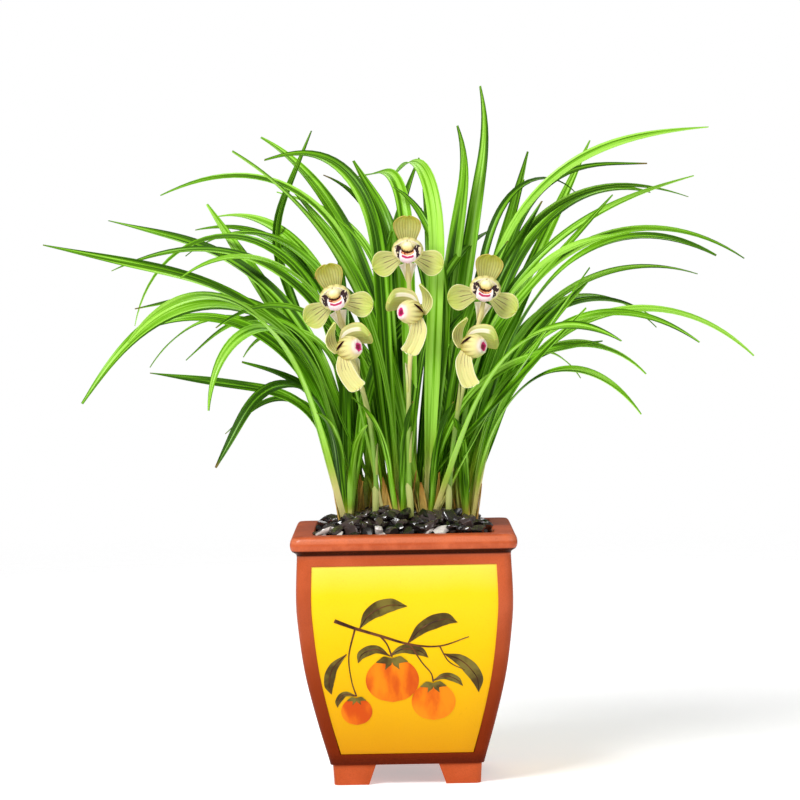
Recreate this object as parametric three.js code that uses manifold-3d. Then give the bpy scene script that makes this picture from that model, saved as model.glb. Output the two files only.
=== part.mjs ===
// A cymbidium orchid growing in a square clay pot with a glazed panel let into each side.
// Millimetres, +Z up. The origin lies on the ground under the middle of the pot, and the
// pot's front faces -Y. The pot is filled from below with gravel, bark mix and pebbles, and
// three clumps of the plant stand in it, with their leaves and flower spikes.
import * as THREE from "three";
import { mergeVertices } from "three/addons/utils/BufferGeometryUtils.js";
import Module from "manifold-3d";

const wasm = await Module();
wasm.setup();

// ---------------------------------------------------------------- driving dimensions

// The gap that neighbouring pieces keep, and how far a cut runs past a face
const GAP = 0.3;
const OVERRUN = 2;

// Pot: half of its outer width against height, from the ground up to the rim, and the rim
const POT_SIDE = [[65.5, 0], [68.3, 18], [79, 58], [89, 102], [94.5, 145], [95.7, 170], [94.3, 206]];
const RIM_SIDE = [[97.6, 210.6], [99.6, 213.2], [100, 217.6], [99.2, 221.8], [97, 224.1], [95.5, 224.5]];
const RIM_TOP = 224.5;
const POT_CORNER = 7;
const POT_STEPS = 12;
const CORNER_STEPS = 3;
const OPENING = 160;
const WALL = 10;
const FLOOR_TOP = 26;
const FOOT_HEIGHT = 18;
const FOOT_GAP_LOW = 71;
const FOOT_GAP_HIGH = 62;
const DRAIN_HOLE = 22;
const DRAIN_SIDES = 24;

// Panels: their place on the pot's face, how deep the recess and the panel lie in it
const PANEL_LOW = 28;
const PANEL_HIGH = 198;
const PANEL_BORDER = 12;
const PANEL_CORNER = 3;
const RECESS_DEPTH = 2.6;
const PANEL_DEPTH = 0.8;
const PANEL_THICKNESS = 1.5;

// Filling: a net over the drain hole, then gravel, bark mix and a mound of pebbles
const NET_SIZE = 42;
const NET_THICKNESS = 1.2;
const NET_HOLE = 6;
const NET_PITCH = 9.5;
const NET_HOLES = 4;
const GRAVEL_TOP = 52;
const MIX_TOP = 209;
const MOUND = [[79.7, 220], [73, 223.5], [58, 229], [40, 234], [20, 237.5]];

// Shoots: where each stands. Its bulb's flat top carries the leaves
const SHOOTS = {
  LA: [-50, -8], LB: [-38, 14], LC: [-26, 36],
  CA: [-12, 4], CB: [-2, -24], CC: [10, -2], CD: [22, -22], BC: [10, 28],
  RA: [38, 32], RB: [48, 10], RC: [58, -10],
};
const BULB_SIDE = [[5.5, 204], [9.2, 209], [10.4, 216], [10.2, 224], [9.4, 231]];
const BULB_TOP = 231;
const BULB_SIDES = 8;
const BULB_CLEARANCE = 0.4;
const SHOOT_HOLE = 11.5;

// Clumps: rhizomes that join shoots, the bud that carries the spike, and roots, each with
// its shoot, its direction in degrees and how far down it reaches
const RHIZOME_HEIGHT = 209;
const RHIZOME_RADIUS = 3;
const BUD_RADIUS = 3.2;
const BUD_TOP = 216;
const ROOT_RADIUS = 2.3;
const ROOT_SIDES = 6;
const ROOT_STEPS = 5;
const ROOT_REACH = 16;
const CLUMPS = {
  left: {
    rhizomes: [["LA", "LB"], ["LB", "LC"]],
    bud: [-26, -24, "LA"],
    roots: [["LA", 205, 100], ["LA", 160, 125], ["LB", 178, 90], ["LC", 120, 140]],
  },
  middle: {
    rhizomes: [["CA", "CC"], ["CB", "CC"], ["CB", "CD"], ["CC", "BC"]],
    bud: [8, -40, "CB"],
    roots: [["CA", 250, 120], ["CB", 240, 90], ["CD", 290, 130], ["BC", 110, 100]],
  },
  right: {
    rhizomes: [["RA", "RB"], ["RB", "RC"]],
    bud: [40, -30, "RC"],
    roots: [["RC", 335, 100], ["RC", 70, 120], ["RB", 20, 90], ["RA", 60, 130]],
  },
};

// Spikes: from the bud up to the upper flower
const SPIKE_RADIUS = 1.9;
const SPIKE_STEPS = 18;
const SPIKE_SIDES = 8;
const SPIKES = {
  left: [[-24, -33, 270], [-29, -44, 328], [-40, -52, 370], [-54, -58, 419]],
  middle: [[6, -45, 280], [7, -50, 350], [10, -55, 404], [8, -59, 462]],
  right: [[43, -38, 275], [50, -46, 328], [61, -53, 372], [74, -58, 425]],
};

// Flowers: the spike, the centre, then in degrees the turn about +Z, lean to the side, nod
// forward, directions of the right and left side sepals and how far the top sepal tips back,
// and the share of the spike's length where the flower's stalk leaves it
const FLOWERS = {
  left_upper: ["left", [-58, -68, 433], 0, -9, 8, [-36, 216], 0, 1],
  left_lower: ["left", [-49, -80, 389], 62, -8, 5, [22, 246], 20, 0.76],
  middle_upper: ["middle", [8, -69, 475], 0, 0, 8, [-36, 216], 0, 1],
  middle_lower: ["middle", [14, -80, 420], -62, 4, 5, [-66, 150], 20, 0.8],
  right_upper: ["right", [76, -68, 439], 0, 6, 8, [-36, 216], 0, 1],
  right_lower: ["right", [60, -80, 389], 62, 6, 5, [30, 246], 20, 0.8],
};
const SEPAL_THICKNESS = 1.5;
const TOP_SEPAL = { long: 15.5, wide: 12.3, out: 15 };
const SIDE_SEPAL = { long: 16, wide: 11.5, out: 22 };
const HOOD = { radii: [13, 9, 10.5], centre: [0, -5, 0] };
const LIP = { radii: [7, 6, 5], centre: [0, -10, -6.5] };
const STALK_RADIUS = 1.5;
const STALK_BEND = 5;
const STALK_SIDES = 6;
const STALK_STEPS = 5;

// Leaves: shoot, turn (degrees, 0 to the right and 90 to the back), seat (how far the foot
// stands from the shoot's middle), length, lean (degrees from upright at the foot), droop
// (degrees the leaf bends over), the shares of its length where that bend begins and ends,
// and the blade's width
const LEAVES = [
  ["LA", 142, 7, 365, 4, 155, 0, 1.3, 7],
  ["LA", 178, 4, 255, 11, 70, 0.2, 0.65, 8],
  ["LA", 218, 5, 260, 10, 135, 0.25, 0.85, 11],
  ["LA", 231, 7, 395, 21, 132, 0.15, 1.3, 13],
  ["LB", 131, 4, 370, 21, 25, 0, 0.75, 14],
  ["LB", 150, 1, 430, 12, 65, 0.1, 0.9, 11],
  ["LB", 178, 8, 335, 10, 90, 0.25, 0.95, 12],
  ["LB", 190, 3, 420, 12, 65, 0.1, 0.8, 11],
  ["LB", 214, 5, 430, 16, 125, 0.15, 1, 14],
  ["LB", 227, 8, 330, 19, 170, 0.3, 1.15, 10],
  ["LC", 135, 4, 400, 27, -60, 0.6, 0.85, 7],
  ["LC", 164, 7, 450, 11, 170, 0.3, 1.15, 7],
  ["LC", 171, 3, 415, 6, 110, 0.15, 1.1, 8],
  ["CA", 128, 2, 430, 16, 95, 0.15, 1.3, 10],
  ["CB", 138, 5, 435, 4, 95, 0.5, 1, 11],
  ["CB", 206, 3, 385, 3, 65, 0.05, 1.3, 13],
  ["CC", 108, 3, 435, 1, 90, 0.55, 0.85, 11],
  ["CC", 128, 5, 445, 10, 70, 0.1, 1.3, 12],
  ["BC", 122, 3, 355, 6, 40, 0.6, 0.9, 16],
  ["CC", 325, 5, 265, 23, 25, 0.05, 0.3, 11],
  ["CD", 68, 4, 435, 25, -60, 0.8, 1.05, 12],
  ["CD", 107, 2, 435, -10, 115, 0.5, 0.95, 12],
  ["CC", 62, 6, 380, 19, -60, 0.8, 1.05, 13],
  ["CD", 312, 8, 325, 28, 105, 0.2, 1.3, 11],
  ["CD", 341, 3, 255, 6, 75, 0, 0.95, 10],
  ["BC", 12, 5, 430, 20, 70, 0.6, 0.95, 7],
  ["RA", 36, 8, 435, 16, 110, 0.3, 1.3, 11],
  ["RA", 52, 5, 430, 15, 25, 0.1, 0.35, 10],
  ["RA", 60, 2, 385, 1, 30, 0, 0.25, 11],
  ["RA", 355, 4, 480, 11, 75, 0.35, 1, 10],
  ["RB", 13, 3, 425, 1, 75, 0, 1.05, 6],
  ["RB", 16, 5, 455, 9, 135, 0.1, 1.3, 6],
  ["RB", 316, 8, 440, 19, 115, 0.15, 1.3, 10],
  ["RB", 318, 6, 375, 2, 105, 0, 1.3, 12],
  ["RB", 338, 1, 345, -6, 50, 0, 0.65, 10],
  ["RC", 3, 8, 380, 9, 145, 0, 1.3, 8],
  ["RC", 34, 3, 260, 14, 40, 0, 1.05, 14],
  ["RC", 315, 1, 285, -12, 55, 0.05, 0.3, 8],
  ["RC", 328, 6, 350, 7, 135, 0, 1.3, 7],
];
const LEAF_STATIONS = 14;
const LEAF_THICKNESS = 1;
const LEAF_FOLD = 0.3;
const LEAF_TILT = 45;
const LEAF_FOOT = 0.42;
const LEAF_TIP = 0.12;
const LEAF_TAPER = 0.45;
const LEAF_THINNING = 0.6;

// ---------------------------------------------------------------- solids and meshes

const toRadians = THREE.MathUtils.degToRad;
const { smoothstep } = THREE.MathUtils;

// A closed geometry as a solid, for joining and cutting
function solidOf(geometry) {
  const bare = geometry.clone();
  bare.deleteAttribute("normal");
  bare.deleteAttribute("uv");
  const merged = mergeVertices(bare, 1e-3);
  const triVerts = new Uint32Array(merged.index.array);
  const vertProperties = merged.getAttribute("position").array;
  return new wasm.Manifold(new wasm.Mesh({ numProp: 3, vertProperties, triVerts }));
}

function geometryOf(solid) {
  const { vertProperties, triVerts } = solid.getMesh();
  return new THREE.BufferGeometry()
    .setAttribute("position", new THREE.BufferAttribute(vertProperties, 3))
    .setIndex(new THREE.BufferAttribute(triVerts, 1));
}

function joined(solids) {
  return solids.reduce((whole, solid) => whole.add(solid));
}

function cut(solid, cutters) {
  return cutters.reduce((rest, cutter) => rest.subtract(cutter), solid);
}

function mesh(name, geometry, color, roughness) {
  geometry.computeVertexNormals();
  const made = new THREE.Mesh(geometry, new THREE.MeshStandardMaterial({ color, roughness, metalness: 0 }));
  made.name = name;
  return made;
}

// A closed skin over rings of points. Each ring runs anticlockwise seen from the last ring,
// and its ends are fans from its first point. The diagonals of neighbouring faces mirror each
// other, so that the two skins of a thin folded blade bend alike where it twists
function loft(rings) {
  const count = rings[0].length;
  const last = (rings.length - 1) * count;
  const index = [];
  for (let level = 0; level < rings.length - 1; level++) {
    for (let i = 0; i < count; i++) {
      const a = level * count + i;
      const b = level * count + ((i + 1) % count);
      if (i % 2) index.push(a, b, a + count, b, b + count, a + count);
      else index.push(a, b, b + count, a, b + count, a + count);
    }
  }
  for (let i = 1; i < count - 1; i++) {
    index.push(0, i + 1, i);
    index.push(last, last + i, last + i + 1);
  }
  const geometry = new THREE.BufferGeometry().setFromPoints(rings.flat());
  return geometry.setIndex(index);
}

// A closed tube of round section along a curve
function tube(curve, radius, sides, steps) {
  const section = new THREE.Shape().absarc(0, 0, radius, 0, 2 * Math.PI);
  return new THREE.ExtrudeGeometry(section, { extrudePath: curve, steps, curveSegments: sides / 2 });
}

function vector(point) {
  return new THREE.Vector3(...point);
}

// ---------------------------------------------------------------- pot

const potSide = new THREE.SplineCurve(POT_SIDE.map(([half, z]) => new THREE.Vector2(half, z)));

// The pot's outer side as levels of half width and height
function sideLevels(inset) {
  return potSide.getPoints(POT_STEPS).map((p) => [p.x - inset, p.y]);
}

// Half of the pot's outer width at a height, between its levels
function halfWidthAt(height) {
  const levels = sideLevels(0);
  const above = Math.max(1, levels.findIndex(([, z]) => z >= height));
  const [[low, zLow], [high, zHigh]] = [levels[above - 1], levels[above]];
  return low + ((high - low) * (height - zLow)) / (zHigh - zLow);
}

// A square ring with round corners
function squareRing(half, corner, z) {
  const centre = half - corner;
  const ring = [];
  for (const [sx, sy, start] of [[1, -1, 270], [1, 1, 0], [-1, 1, 90], [-1, -1, 180]]) {
    for (let step = 0; step <= CORNER_STEPS; step++) {
      const angle = toRadians(start + (90 * step) / CORNER_STEPS);
      const x = sx * centre + corner * Math.cos(angle);
      ring.push(new THREE.Vector3(x, sy * centre + corner * Math.sin(angle), z));
    }
  }
  return ring;
}

function squareLoft(levels, corner) {
  return loft(levels.map(([half, z]) => squareRing(half, corner, z)));
}

// The inside of the pot from one height to another, less a clearance
function cavity(low, high, clearance) {
  const between = sideLevels(0).map(([, z]) => z).filter((z) => z > low + 1 && z < high - 1);
  const levels = [low, ...between, high].map((z) => {
    const height = Math.min(z, POT_SIDE.at(-1)[1]);
    return [Math.min(halfWidthAt(height) - WALL, OPENING / 2) - clearance, z];
  });
  return solidOf(squareLoft(levels, POT_CORNER));
}

// The gap between two feet: a long wedge-sided bar under the floor
function footGap() {
  const length = 4 * POT_SIDE[0][0];
  const right = [[FOOT_GAP_LOW / 2, -OVERRUN], [FOOT_GAP_LOW / 2, 0], [FOOT_GAP_HIGH / 2, FOOT_HEIGHT]];
  const left = right.map(([x, z]) => [-x, z]).reverse();
  const shape = new THREE.Shape([...right, ...left].map(([x, z]) => new THREE.Vector2(x, z)));
  const bar = new THREE.ExtrudeGeometry(shape, { depth: length, bevelEnabled: false });
  return bar.rotateX(Math.PI / 2).translate(0, length / 2, 0);
}

// The outline of a front panel, pushed through the front wall
function panelBar(margin) {
  const low = PANEL_LOW - margin;
  const high = PANEL_HIGH + margin;
  const inner = sideLevels(PANEL_BORDER - margin).filter(
    ([, z]) => z > low + PANEL_CORNER && z < high - PANEL_CORNER,
  );
  const wide = (z) => halfWidthAt(z) - PANEL_BORDER + margin;
  const right = [
    [wide(low) - PANEL_CORNER, low], [wide(low + PANEL_CORNER), low + PANEL_CORNER],
    ...inner,
    [wide(high - PANEL_CORNER), high - PANEL_CORNER], [wide(high) - PANEL_CORNER, high],
  ];
  const left = right.map(([x, z]) => [-x, z]).reverse();
  const shape = new THREE.Shape([...right, ...left].map(([x, z]) => new THREE.Vector2(x, z)));
  const bar = new THREE.ExtrudeGeometry(shape, { depth: OPENING, bevelEnabled: false });
  return solidOf(bar.rotateX(Math.PI / 2));
}

function potBody() {
  const levels = [...sideLevels(0), ...RIM_SIDE];
  const outside = solidOf(squareLoft(levels, POT_CORNER));
  const inside = cavity(FLOOR_TOP, RIM_TOP + OVERRUN, 0);
  const recess = panelBar(GAP).subtract(solidOf(squareLoft(sideLevels(RECESS_DEPTH), POT_CORNER)));
  const drain = new THREE.CylinderGeometry(DRAIN_HOLE / 2, DRAIN_HOLE / 2, 2 * FLOOR_TOP, DRAIN_SIDES);
  const cutters = [inside, solidOf(drain.rotateX(Math.PI / 2))];
  for (const turn of [0, 90, 180, 270]) cutters.push(recess.rotate([0, 0, turn]));
  for (const turn of [0, 90]) cutters.push(solidOf(footGap()).rotate([0, 0, turn]));
  return mesh("pot_body", geometryOf(cut(outside, cutters)), 0xb5533a, 0.6);
}

// The four panels share one shape, turned to each side
function panels() {
  const face = solidOf(squareLoft(sideLevels(PANEL_DEPTH), POT_CORNER));
  const back = solidOf(squareLoft(sideLevels(PANEL_DEPTH + PANEL_THICKNESS), POT_CORNER));
  const shape = panelBar(0).intersect(face).subtract(back);
  return ["front", "right", "back", "left"].map((side, i) => {
    const made = mesh("panel_" + side, geometryOf(shape), 0xf2c81e, 0.3);
    made.rotation.z = (i * Math.PI) / 2;
    return made;
  });
}

// ---------------------------------------------------------------- clumps

function bulb([x, y], clearance) {
  const side = BULB_SIDE.map(([r, z]) => new THREE.Vector2(r + clearance, z));
  const low = new THREE.Vector2(0, side[0].y - clearance);
  const high = new THREE.Vector2(0, BULB_TOP + clearance);
  side[0].y = low.y;
  side.at(-1).y = high.y;
  return new THREE.LatheGeometry([low, ...side, high], BULB_SIDES).rotateX(Math.PI / 2).translate(x, y, 0);
}

function rhizome(from, to, clearance) {
  const ends = [from, to].map(([x, y]) => new THREE.Vector3(x, y, RHIZOME_HEIGHT));
  return tube(new THREE.LineCurve3(...ends), RHIZOME_RADIUS + clearance, BULB_SIDES, 1);
}

// The bud that a spike grows from, on a short rhizome of its own
function bud([x, y, shoot], clearance) {
  const low = RHIZOME_HEIGHT - RHIZOME_RADIUS - clearance;
  const high = BUD_TOP + clearance;
  const radius = BUD_RADIUS + clearance;
  const knob = new THREE.CylinderGeometry(radius, radius, high - low, BULB_SIDES).rotateX(Math.PI / 2);
  const stand = solidOf(knob.translate(x, y, (low + high) / 2));
  return stand.add(solidOf(rhizome([x, y], SHOOTS[shoot], clearance)));
}

// A fleshy root: out of its bulb's foot, then down through the mix
function root([shoot, direction, depth], clearance) {
  const [x, y] = SHOOTS[shoot];
  const out = new THREE.Vector2(ROOT_REACH, 0).rotateAround(new THREE.Vector2(), toRadians(direction));
  const at = (share, drop) => new THREE.Vector3(x + share * out.x, y + share * out.y, RHIZOME_HEIGHT - drop);
  const course = [at(0, 0), at(0.6, 0.1 * depth), at(1, 0.5 * depth), at(0.8, depth)];
  const curve = new THREE.CubicBezierCurve3(...course);
  return tube(curve, ROOT_RADIUS + clearance, ROOT_SIDES, ROOT_STEPS);
}

function clumpSolid({ rhizomes, bud: budPlace, roots }, clearance) {
  const shoots = [...new Set(rhizomes.flat())];
  return joined([
    ...shoots.map((shoot) => solidOf(bulb(SHOOTS[shoot], clearance))),
    ...rhizomes.map(([a, b]) => solidOf(rhizome(SHOOTS[a], SHOOTS[b], clearance))),
    bud(budPlace, clearance),
    ...roots.map((place) => solidOf(root(place, clearance))),
  ]);
}

function clumps() {
  return Object.entries(CLUMPS).map(([side, clump]) =>
    mesh("clump_" + side, geometryOf(clumpSolid(clump, 0)), 0xc9b57a, 0.6),
  );
}

// ---------------------------------------------------------------- filling

function drainageNet() {
  const bottom = FLOOR_TOP + GAP;
  const block = (size, x, y, high) =>
    solidOf(new THREE.BoxGeometry(size, size, high).translate(x, y, bottom + NET_THICKNESS / 2));
  const places = Array.from({ length: NET_HOLES }, (_, i) => (i - (NET_HOLES - 1) / 2) * NET_PITCH);
  const holes = places.flatMap((x) => places.map((y) => block(NET_HOLE, x, y, 2 * NET_THICKNESS)));
  const net = cut(block(NET_SIZE, 0, 0, NET_THICKNESS), holes);
  return mesh("drainage_net", geometryOf(net), 0x1c1c1c, 0.5);
}

function drainageGravel() {
  const room = NET_SIZE + 2 * GAP;
  const netRoom = new THREE.BoxGeometry(room, room, 2 * (NET_THICKNESS + GAP));
  const netPlace = solidOf(netRoom.translate(0, 0, FLOOR_TOP + GAP));
  const layer = cavity(FLOOR_TOP + GAP, GRAVEL_TOP, GAP).subtract(netPlace);
  return mesh("drainage_gravel", geometryOf(layer), 0x8f8378, 0.9);
}

function pottingMix(rooms) {
  const layer = cavity(GRAVEL_TOP + GAP, MIX_TOP, GAP);
  return mesh("potting_mix", geometryOf(cut(layer, rooms)), 0x4a3222, 0.95);
}

// The pebbles: one mound that fills the pot's mouth, with room for each shoot and spike
function pebbleDressing(rooms) {
  const low = MIX_TOP + GAP;
  const mound = solidOf(squareLoft([[MOUND[0][0], low], ...MOUND], POT_CORNER));
  const holes = Object.values(SHOOTS).map(([x, y]) => {
    const post = new THREE.CylinderGeometry(SHOOT_HOLE, SHOOT_HOLE, RIM_TOP, BULB_SIDES).rotateX(Math.PI / 2);
    return solidOf(post.translate(x, y, BUD_TOP + GAP + RIM_TOP / 2));
  });
  const spikeHoles = Object.keys(SPIKES).map((side) => solidOf(spikeStem(side, BULB_CLEARANCE)));
  return mesh("pebble_dressing", geometryOf(cut(mound, [...rooms, ...holes, ...spikeHoles])), 0x141414, 0.25);
}

function filling() {
  const rooms = Object.values(CLUMPS).map((clump) => clumpSolid(clump, BULB_CLEARANCE));
  return [drainageNet(), drainageGravel(), pottingMix(rooms), pebbleDressing(rooms)];
}

// ---------------------------------------------------------------- leaves

// A leaf's middle line in its own upright plane: reach from the foot, height and the angle
// from upright, at each station
function leafLine([, , , length, lean, droop, bendFrom, bendTo]) {
  const step = length / LEAF_STATIONS;
  const angleAt = (share) => toRadians(lean + droop * smoothstep(share, bendFrom, bendTo));
  const line = [{ reach: 0, height: 0, angle: angleAt(0) }];
  for (let i = 1; i <= LEAF_STATIONS; i++) {
    const middle = angleAt((i - 0.5) / LEAF_STATIONS);
    const { reach, height } = line.at(-1);
    line.push({
      reach: reach + step * Math.sin(middle),
      height: height + step * Math.cos(middle),
      angle: angleAt(i / LEAF_STATIONS),
    });
  }
  return line;
}

// Half of the blade's width at a share of its length: narrow at the foot, pointed at the tip
function halfBlade(width, share) {
  const foot = LEAF_FOOT + (1 - LEAF_FOOT) * smoothstep(share, 0, 0.35);
  const tip = Math.sqrt(Math.min(1, (1 - share) / LEAF_TAPER));
  return (width / 2) * foot * Math.max(LEAF_TIP, tip);
}

// The blade: a shallow V in section that turns its upper side to the front as it rises
function leafGeometry(row) {
  const [, turn, , , , , , , width] = row;
  const tilt = -toRadians(LEAF_TILT) * Math.cos(toRadians(turn));
  const rings = leafLine(row).map(({ reach, height, angle }, i) => {
    const share = i / LEAF_STATIONS;
    const roll = tilt * smoothstep(share, 0.02, 0.35);
    const across = new THREE.Vector3(0, 1, 0);
    const upper = new THREE.Vector3(-Math.cos(angle), 0, Math.sin(angle));
    const side = across.clone().multiplyScalar(Math.cos(roll)).addScaledVector(upper, -Math.sin(roll));
    const normal = upper.clone().multiplyScalar(Math.cos(roll)).addScaledVector(across, Math.sin(roll));
    const half = halfBlade(width, share);
    const thick = LEAF_THICKNESS * (1 - LEAF_THINNING * share);
    const edge = LEAF_FOLD * half + thick / 2;
    const middle = new THREE.Vector3(reach, 0, height);
    const at = (u, v) => middle.clone().addScaledVector(side, u).addScaledVector(normal, v);
    return [at(0, -thick / 2), at(half, edge), at(0, thick / 2), at(-half, edge)];
  });
  return loft(rings);
}

function leaves() {
  return LEAVES.map((row, i) => {
    const [shoot, turn, seat] = row;
    const [x, y] = SHOOTS[shoot];
    const color = new THREE.Color().setHSL(0.27, 0.75, 0.24 + 0.03 * (i % 4));
    const made = mesh("leaf_" + String(i + 1).padStart(2, "0"), leafGeometry(row), color, 0.45);
    made.position.set(seat, 0, 0);
    const stand = new THREE.Group();
    stand.position.set(x, y, BULB_TOP + GAP);
    stand.rotation.z = toRadians(turn);
    return stand.add(made);
  });
}

// ---------------------------------------------------------------- spikes and flowers

function spikeCurve(side) {
  const [x, y] = CLUMPS[side].bud;
  return new THREE.CatmullRomCurve3([[x, y, BUD_TOP + GAP], ...SPIKES[side]].map(vector));
}

function spikeStem(side, clearance) {
  return tube(spikeCurve(side), SPIKE_RADIUS + clearance, SPIKE_SIDES, SPIKE_STEPS);
}

function spikes() {
  return Object.keys(SPIKES).map((side) => mesh("flower_spike_" + side, spikeStem(side, 0), 0xd9cfa0, 0.5));
}

// A rounded lump: a sphere of given radii
function lump([rx, ry, rz], [x, y, z], roll = 0) {
  const ball = new THREE.SphereGeometry(1, 8, 5).rotateX(Math.PI / 2).scale(rx, ry, rz);
  return solidOf(ball.rotateY(toRadians(roll)).translate(x, y, z));
}

// A sepal that points out from the flower's middle at an angle above the right-hand side
function sepal({ long, wide, out }, angle) {
  const centre = [out * Math.cos(toRadians(angle)), 0, out * Math.sin(toRadians(angle))];
  return lump([long, SEPAL_THICKNESS, wide], centre, -angle);
}

// A flower that faces -Y with its middle at its own origin. Its stalk leaves the back and
// meets the spike at its end, where it runs along the last two points
function flowerSolid([right, left], tip, beforeEnd, end) {
  const middle = new THREE.Vector3(0, -2, 0);
  const behind = new THREE.Vector3(0, 6, 0);
  const stalk = new THREE.CubicBezierCurve3(middle, behind, beforeEnd, end);
  return joined([
    sepal(TOP_SEPAL, 90).rotate([-tip, 0, 0]),
    sepal(SIDE_SEPAL, right),
    sepal(SIDE_SEPAL, left),
    lump(HOOD.radii, HOOD.centre),
    lump(LIP.radii, LIP.centre),
    solidOf(tube(stalk, STALK_RADIUS, STALK_SIDES, STALK_STEPS)),
  ]);
}

// Where a flower's stalk meets its spike, and the direction in which it leaves: along the
// spike at its top, square to it lower down
function stalkFoot(curve, share, centre) {
  const foot = curve.getPointAt(share);
  const along = curve.getTangentAt(share);
  if (share === 1) return { foot: foot.addScaledVector(along, GAP), away: along };
  const away = vector(centre).sub(foot).projectOnPlane(along).normalize();
  return { foot: foot.addScaledVector(away, SPIKE_RADIUS + 1.5 * GAP), away };
}

function flowers() {
  return Object.entries(FLOWERS).map(([name, row]) => {
    const [spike, centre, turn, lean, nod, sides, tip, share] = row;
    const place = new THREE.Object3D();
    place.position.set(...centre);
    place.rotation.set(toRadians(nod), toRadians(lean), toRadians(turn), "ZYX");
    place.updateMatrix();
    const toFlower = place.matrix.clone().invert();
    const { foot, away } = stalkFoot(spikeCurve(spike), share, centre);
    const end = foot.clone().applyMatrix4(toFlower);
    const beforeEnd = foot.clone().addScaledVector(away, STALK_BEND).applyMatrix4(toFlower);
    const made = mesh("flower_" + name, geometryOf(flowerSolid(sides, tip, beforeEnd, end)), 0xd4cf86, 0.5);
    made.position.copy(place.position);
    made.rotation.copy(place.rotation);
    return made;
  });
}

// ---------------------------------------------------------------- the whole

const orchid = new THREE.Group();
orchid.add(potBody(), ...panels(), ...filling(), ...clumps(), ...leaves(), ...spikes(), ...flowers());

export default orchid;
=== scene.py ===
import math
import random

import bmesh
import bpy
import numpy as np
from mathutils import Matrix, Vector


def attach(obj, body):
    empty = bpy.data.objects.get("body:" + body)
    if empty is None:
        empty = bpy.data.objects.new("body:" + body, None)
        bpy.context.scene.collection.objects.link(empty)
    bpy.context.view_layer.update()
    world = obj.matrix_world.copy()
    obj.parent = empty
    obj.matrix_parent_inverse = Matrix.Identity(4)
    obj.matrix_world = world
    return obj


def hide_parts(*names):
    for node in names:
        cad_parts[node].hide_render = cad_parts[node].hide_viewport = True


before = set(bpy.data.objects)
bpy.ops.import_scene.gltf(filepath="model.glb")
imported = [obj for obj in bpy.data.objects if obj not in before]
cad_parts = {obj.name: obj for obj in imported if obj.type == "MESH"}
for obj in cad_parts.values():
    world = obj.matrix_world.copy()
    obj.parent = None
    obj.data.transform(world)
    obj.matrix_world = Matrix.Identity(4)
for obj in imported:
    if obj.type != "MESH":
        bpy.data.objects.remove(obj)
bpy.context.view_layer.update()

# ---------------------------------------------------------------------------- pot
# The pot is press-moulded from red-brown stoneware clay and fired without a glaze. It swells
# upwards from four feet, has a round rolled rim, and each side has a shallow bed for a panel.
# Its skin is a little mottled and satin from burnishing; the rim's edges are rubbed pale, as wear and as a
# painted highlight.
# Its colour also carries painted shade low on the body and under the rim, and a painted highlight on the rim.
MM = 0.001
# half width and height in millimetres: outside of the wall, rim, then inside down to the floor
POT_SIDE = [(65.5, 0), (68.3, 18), (79, 58), (89, 102), (94.5, 145), (95.7, 170), (94.3, 206)]
POT_RIM = [(94.6, 208.2), (96, 209.6), (98.2, 211), (99.5, 213), (100, 215.4), (100, 218), (99.5, 220.6),
           (98.4, 222.6), (96.8, 224), (94.6, 224.5)]
POT_MOUTH = [(82, 224.5), (80.6, 224.1), (80, 223.2), (80, 200), (78, 120), (66, 50), (60, 26)]
POT_CORNER = 7
POT_LEVEL = 9
POT_ROUND = 0.6
POT_SHARP = 38
FOOT_HEIGHT = 18
# the gap between two feet narrows upwards from the first width to the second
FOOT_GAP = (70, 56)
GAP_LENGTH, GAP_LOW = 300, -2
DRAIN_RADIUS, DRAIN_CUT = 11, 80
# the heights between which each side of the wall has its strip for a panel
PANEL_STRIP = (23, 203)
PANEL_EDGE = 5
PANEL_BED = 2.6
BED_SLOPE = 0.35
STRIP_AREA = 100
BLANK_HALF = 80


def smooth_course(points, count):
    """Points on one smooth curve through the given ones, as an array."""
    p = np.array(points, float)
    p = np.vstack([2 * p[0] - p[1], p, 2 * p[-1] - p[-2]])
    out = []
    for t in np.linspace(0, len(points) - 1, count):
        i = min(int(t), len(points) - 2)
        f = t - i
        a, b, c, d = p[i:i + 4]
        square, cube = 2 * a - 5 * b + 4 * c - d, 3 * b - a - 3 * c + d
        out.append(0.5 * (2 * b + (c - a) * f + square * f**2 + cube * f**3))
    return np.array(out)


pot_curve = smooth_course(POT_SIDE, 120)


def half_width(height):
    """Half of the pot's outer width at a height, both in millimetres."""
    return np.interp(height, pot_curve[:, 1], pot_curve[:, 0])


def paint(red, green, blue):
    """A colour as a paint chart gives it (0 to 255), in the linear values that a shader takes."""
    def linear(value):
        value /= 255
        return value / 12.92 if value <= 0.04045 else ((value + 0.055) / 1.055) ** 2.4
    return (linear(red), linear(green), linear(blue), 1.0)


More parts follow.
